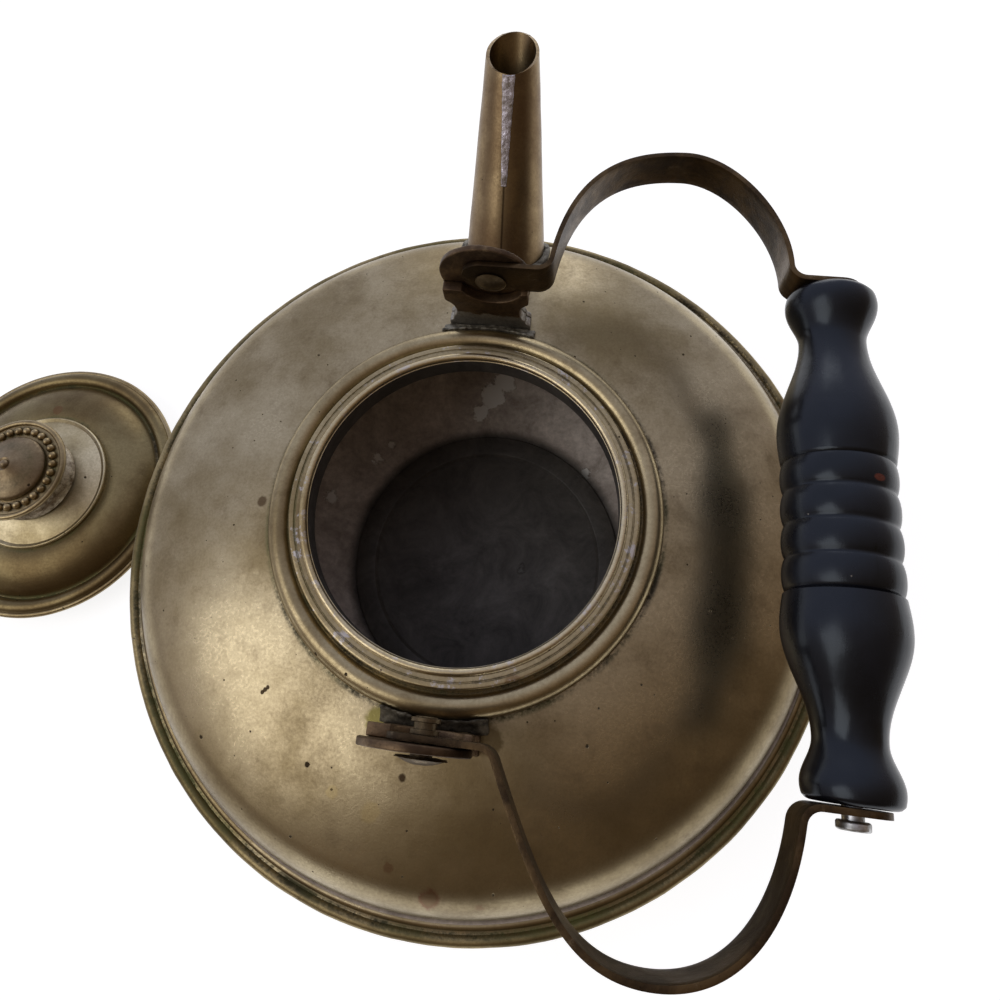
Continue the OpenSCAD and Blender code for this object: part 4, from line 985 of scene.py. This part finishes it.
# Lid collar: a plain ring soldered under the lid that drops into the neck.
COLLAR_OUT, COLLAR_IN, FLANGE_IN = 36.9, 36.1, 33.9
ring = spun("lid_collar", [(COLLAR_IN, 0.15), (COLLAR_IN + 0.2, 0), (COLLAR_OUT - 0.1, 0), (COLLAR_OUT, 0.15),
                           (COLLAR_OUT, LID_FLAT), (FLANGE_IN, LID_FLAT), (FLANGE_IN, LID_FLAT - LID_T),
                           (COLLAR_IN, LID_FLAT - LID_T)], 160)
dented(ring, 0.1, 12)
on_lid(ring)
ring.data.materials.append(aged_brass("dull brass of the lid's collar", "#968a6c", "#6f6350", "#473a2a", 0.38,
                                      centre=lid_at))
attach(ring, "lid")
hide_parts("lid_collar")

# Lid boss: a second spinning set on the cushion, stepped at its edge, with old
# solder run along the step.
boss = spun("lid_boss", [(4, CUSHION_Z), (BOSS_R, CUSHION_Z), (BOSS_R + 0.02, CUSHION_Z + 0.9)]
            + arc(BOSS_R - 0.45, CUSHION_Z + 0.85, 0.45, 60, 0, 4)
            + arc(0, CUSHION_Z + 1.3 + 3 - 62, 62, math.degrees(math.asin(20.6 / 62)), 5, 16)
            + [(4, CUSHION_Z + 4.25)], 176)
dented(boss, 0.12, 9)
on_lid(boss)
# The boss's brass is made much paler than the rest of the lid: a painted highlight
boss.data.materials.append(aged_brass("boss brass paled as painted highlight", "#ddd0ac", "#ab9b72", "#6a583c", 0.34,
                                      centre=lid_at, rings=((14.0, 1.6, CUSHION_Z + 4.2, 0.9),), lines=0.5))
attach(boss, "lid")
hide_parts("lid_boss")

# Knob: a waisted brass stem, a gallery plate with a ring of beads soldered in
# its gutter, and a conical button on top, all held by a rivet from below.
STEM_Z = CUSHION_Z + 1.3 + 3
GALLERY_Z = STEM_Z + 8.4
GALLERY_R, BUTTON_R, BEADS, PEARL_R = 16.2, 10.2, 28, 1.3
stem = spun("knob_stem", [(4, STEM_Z - 0.2), (13.8, STEM_Z - 0.2), (13.6, STEM_Z + 0.3)]
            + arc(16.6, STEM_Z + 4.8, 5, -135, -52, 16) + [(13.4, GALLERY_Z), (4, GALLERY_Z)], 144)
dented(stem, 0.15, 5)
on_lid(stem)
stem.data.materials.append(solder_metal("solder-washed brass", "#b3a892", "#5b4c38", 0.4, 0.85))
gutter = spun("knob_gallery", [(4, GALLERY_Z), (13.6, GALLERY_Z), (14.6, GALLERY_Z - 0.1)]
              + arc(GALLERY_R - 0.9, GALLERY_Z + 0.8, 0.95, 170, -60, 16)
              + [(GALLERY_R - 1.75, GALLERY_Z + 0.9), (BUTTON_R + 0.1, GALLERY_Z + 0.9),
                 (BUTTON_R, GALLERY_Z + 1.6), (4, GALLERY_Z + 1.6)], 160)
dented(gutter, 0.12, 4)
on_lid(gutter)
bead_brass = aged_brass("rubbed brass of the beads", "#b4a27c", "#8a7754", "#4b3a26", 0.28,
                        centre=lid_at, lines=0)
knob_brass = aged_brass("dark dull brass of the knob", "#a89672", "#75664a", "#453421", 0.3, centre=lid_at,
                        rings=((12.4, 2.2, GALLERY_Z + 0.9, 1.0), (BUTTON_R, 0.8, GALLERY_Z + 1.7, 1.0)),
                        lines=0.1)
gutter.data.materials.append(knob_brass)
button_top = GALLERY_Z + 1.6
button = spun("knob_button", [(0, button_top), (BUTTON_R, button_top), (BUTTON_R + 0.05, button_top + 0.4),
                              (BUTTON_R - 0.2, button_top + 0.85), (BUTTON_R - 0.6, button_top + 1.1)]
              + [(x, button_top + up) for x, up in ((9.2, 1.35), (8, 1.95), (6.6, 2.6), (5.2, 3.2), (3.9, 3.8),
                                                    (2.9, 4.3), (2.1, 4.75))]
              + arc(0, button_top + 3.9, 1.5, 70, 0, 8), 128, closed=False)
dented(button, 0.22, 4)
on_lid(button)
button_brass = aged_brass("patinated brass of the button", "#96866a", "#6d5c44", "#3f2d1e", 0.32,
                          centre=lid_at, rings=((6.5, 2.4, button_top + 2.5, 0.4),), lines=0.1)
button.data.materials.append(button_brass)
bpy.ops.object.select_all(action="DESELECT")
bead_row = (GALLERY_R - 1.7 + BUTTON_R) / 2
bpy.ops.mesh.primitive_uv_sphere_add(segments=24, ring_count=12, radius=PEARL_R * MM,
                                     location=(bead_row * MM, 0, (GALLERY_Z + 1.3) * MM))
pearl = bpy.context.object
bpy.ops.object.transform_apply(location=True)
bpy.ops.object.mode_set(mode="EDIT")
bpy.ops.mesh.select_all(action="SELECT")
bpy.ops.mesh.bisect(plane_co=(0, 0, (GALLERY_Z + 0.6) * MM), plane_no=(0, 0, 1),
                    clear_inner=True, use_fill=True)
bpy.ops.object.mode_set(mode="OBJECT")
for i in range(BEADS):
    one = pearl.copy()
    one.data = pearl.data.copy()
    one.name = f"gallery_bead_{i + 1:02d}"
    bpy.context.scene.collection.objects.link(one)
    only(one)
    one.rotation_euler = (0, 0, math.tau * i / BEADS)
    bpy.ops.object.transform_apply(rotation=True)
    dented(one, 0.2, 1.5)
    on_lid(one)
    smooth(one, 60)
    one.data.materials.append(bead_brass)
    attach(one, "lid")
bpy.data.objects.remove(pearl)
for piece, node, finish in ((stem, "knob_stem", "solder"), (gutter, "knob_gallery", "cast_brass"),
                            (button, "knob_button", "cast_brass")):
    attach(piece, "lid")
    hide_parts(node)
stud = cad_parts["lid_rivet"]
stud.data.materials.clear()
stud.data.materials.append(old_bronze("dull brass of the lid's rivet", "#7b6b4a", "#4a3d2a", "#a08a60", 0.4))

# Floor: a pale studio table under soft light from high on the left, with the
# room dimmer on the near right, so that the metal shows both.
bpy.ops.object.select_all(action="DESELECT")
bpy.ops.mesh.primitive_plane_add(size=6, location=(0, 0, -0.0002))
floor = bpy.context.object
floor.name = "floor"
paper = bpy.data.materials.new("matt white table")
paper.use_nodes = True
tree = paper.node_tree
tree.nodes.clear()
output = add(tree, "ShaderNodeOutputMaterial", {}, {})
path = add(tree, "ShaderNodeLightPath", {}, {})
seen = add(tree, "ShaderNodeMath", {"operation": "MAXIMUM"},
           {0: path.outputs["Is Camera Ray"], 1: path.outputs["Is Glossy Ray"]})
seen = add(tree, "ShaderNodeMath", {"operation": "MAXIMUM"},
           {0: seen.outputs[0], 1: path.outputs["Is Transmission Ray"]})
plain = add(tree, "ShaderNodeBsdfDiffuse", {}, {"Color": (0.82, 0.82, 0.82, 1)})
low_part = add(tree, "ShaderNodeBsdfDiffuse", {}, {"Color": (0.36, 0.36, 0.36, 1)})
glow = add(tree, "ShaderNodeEmission", {}, {"Color": (1, 1, 1, 1), "Strength": 0.86})
white = add(tree, "ShaderNodeAddShader", {}, {0: low_part.outputs[0], 1: glow.outputs[0]})
both = add(tree, "ShaderNodeMixShader", {}, {0: seen.outputs[0], 1: plain.outputs[0], 2: white.outputs[0]})
tree.links.new(both.outputs[0], output.inputs["Surface"])
floor.data.materials.append(paper)


def lamp(name, azimuth, elevation, distance, size, power):
    """A square soft box that faces the kettle"""
    light = bpy.data.lights.new(name, "AREA")
    light.size = size
    light.energy = power
    holder = bpy.data.objects.new(name, light)
    bpy.context.scene.collection.objects.link(holder)
    a, e = math.radians(azimuth), math.radians(elevation)
    way = Vector((math.cos(e) * math.cos(a), math.cos(e) * math.sin(a), math.sin(e)))
    holder.location = way * distance
    holder.rotation_euler = way.to_track_quat("Z", "Y").to_euler()


lamp("window", -150, 51, 1.6, 1.0, 5.9)
lamp("far wall", 95, 14, 1.7, 0.8, 3)

world = bpy.data.worlds.new("studio")
bpy.context.scene.world = world
world.use_nodes = True
tree = world.node_tree
sky = tree.nodes["Background"]
aim = add(tree, "ShaderNodeTexCoord", {}, {})
toward = add(tree, "ShaderNodeVectorMath", {"operation": "DOT_PRODUCT"},
             {0: aim.outputs["Generated"], 1: (-0.45, 0.87, 0.2)})
strength = add(tree, "ShaderNodeMapRange", {"interpolation_type": "SMOOTHSTEP"},
               {0: toward.outputs["Value"], 1: -0.85, 2: 0.95, 3: 0.12, 4: 0.66})
tree.links.new(strength.outputs[0], sky.inputs["Strength"])
tint = add(tree, "ShaderNodeMapRange", {}, {0: toward.outputs["Value"], 1: -0.5, 2: 0.6})
wash = add(tree, "ShaderNodeMix", {"data_type": "RGBA"},
           {0: tint.outputs[0], 6: (1, 0.7, 0.44, 1), 7: (0.96, 1, 1.26, 1)})
tree.links.new(wash.outputs[2], sky.inputs["Color"])
# The camera sees a plain pale wall where the table ends
wall = add(tree, "ShaderNodeBackground", {}, {"Color": (0.9, 0.9, 0.9, 1), "Strength": 1})
path = add(tree, "ShaderNodeLightPath", {}, {})
shown = add(tree, "ShaderNodeMixShader", {},
            {0: path.outputs["Is Camera Ray"], 1: sky.outputs[0], 2: wall.outputs[0]})
tree.links.new(shown.outputs[0], tree.nodes["World Output"].inputs["Surface"])
bpy.context.scene.view_settings.view_transform = "Standard"
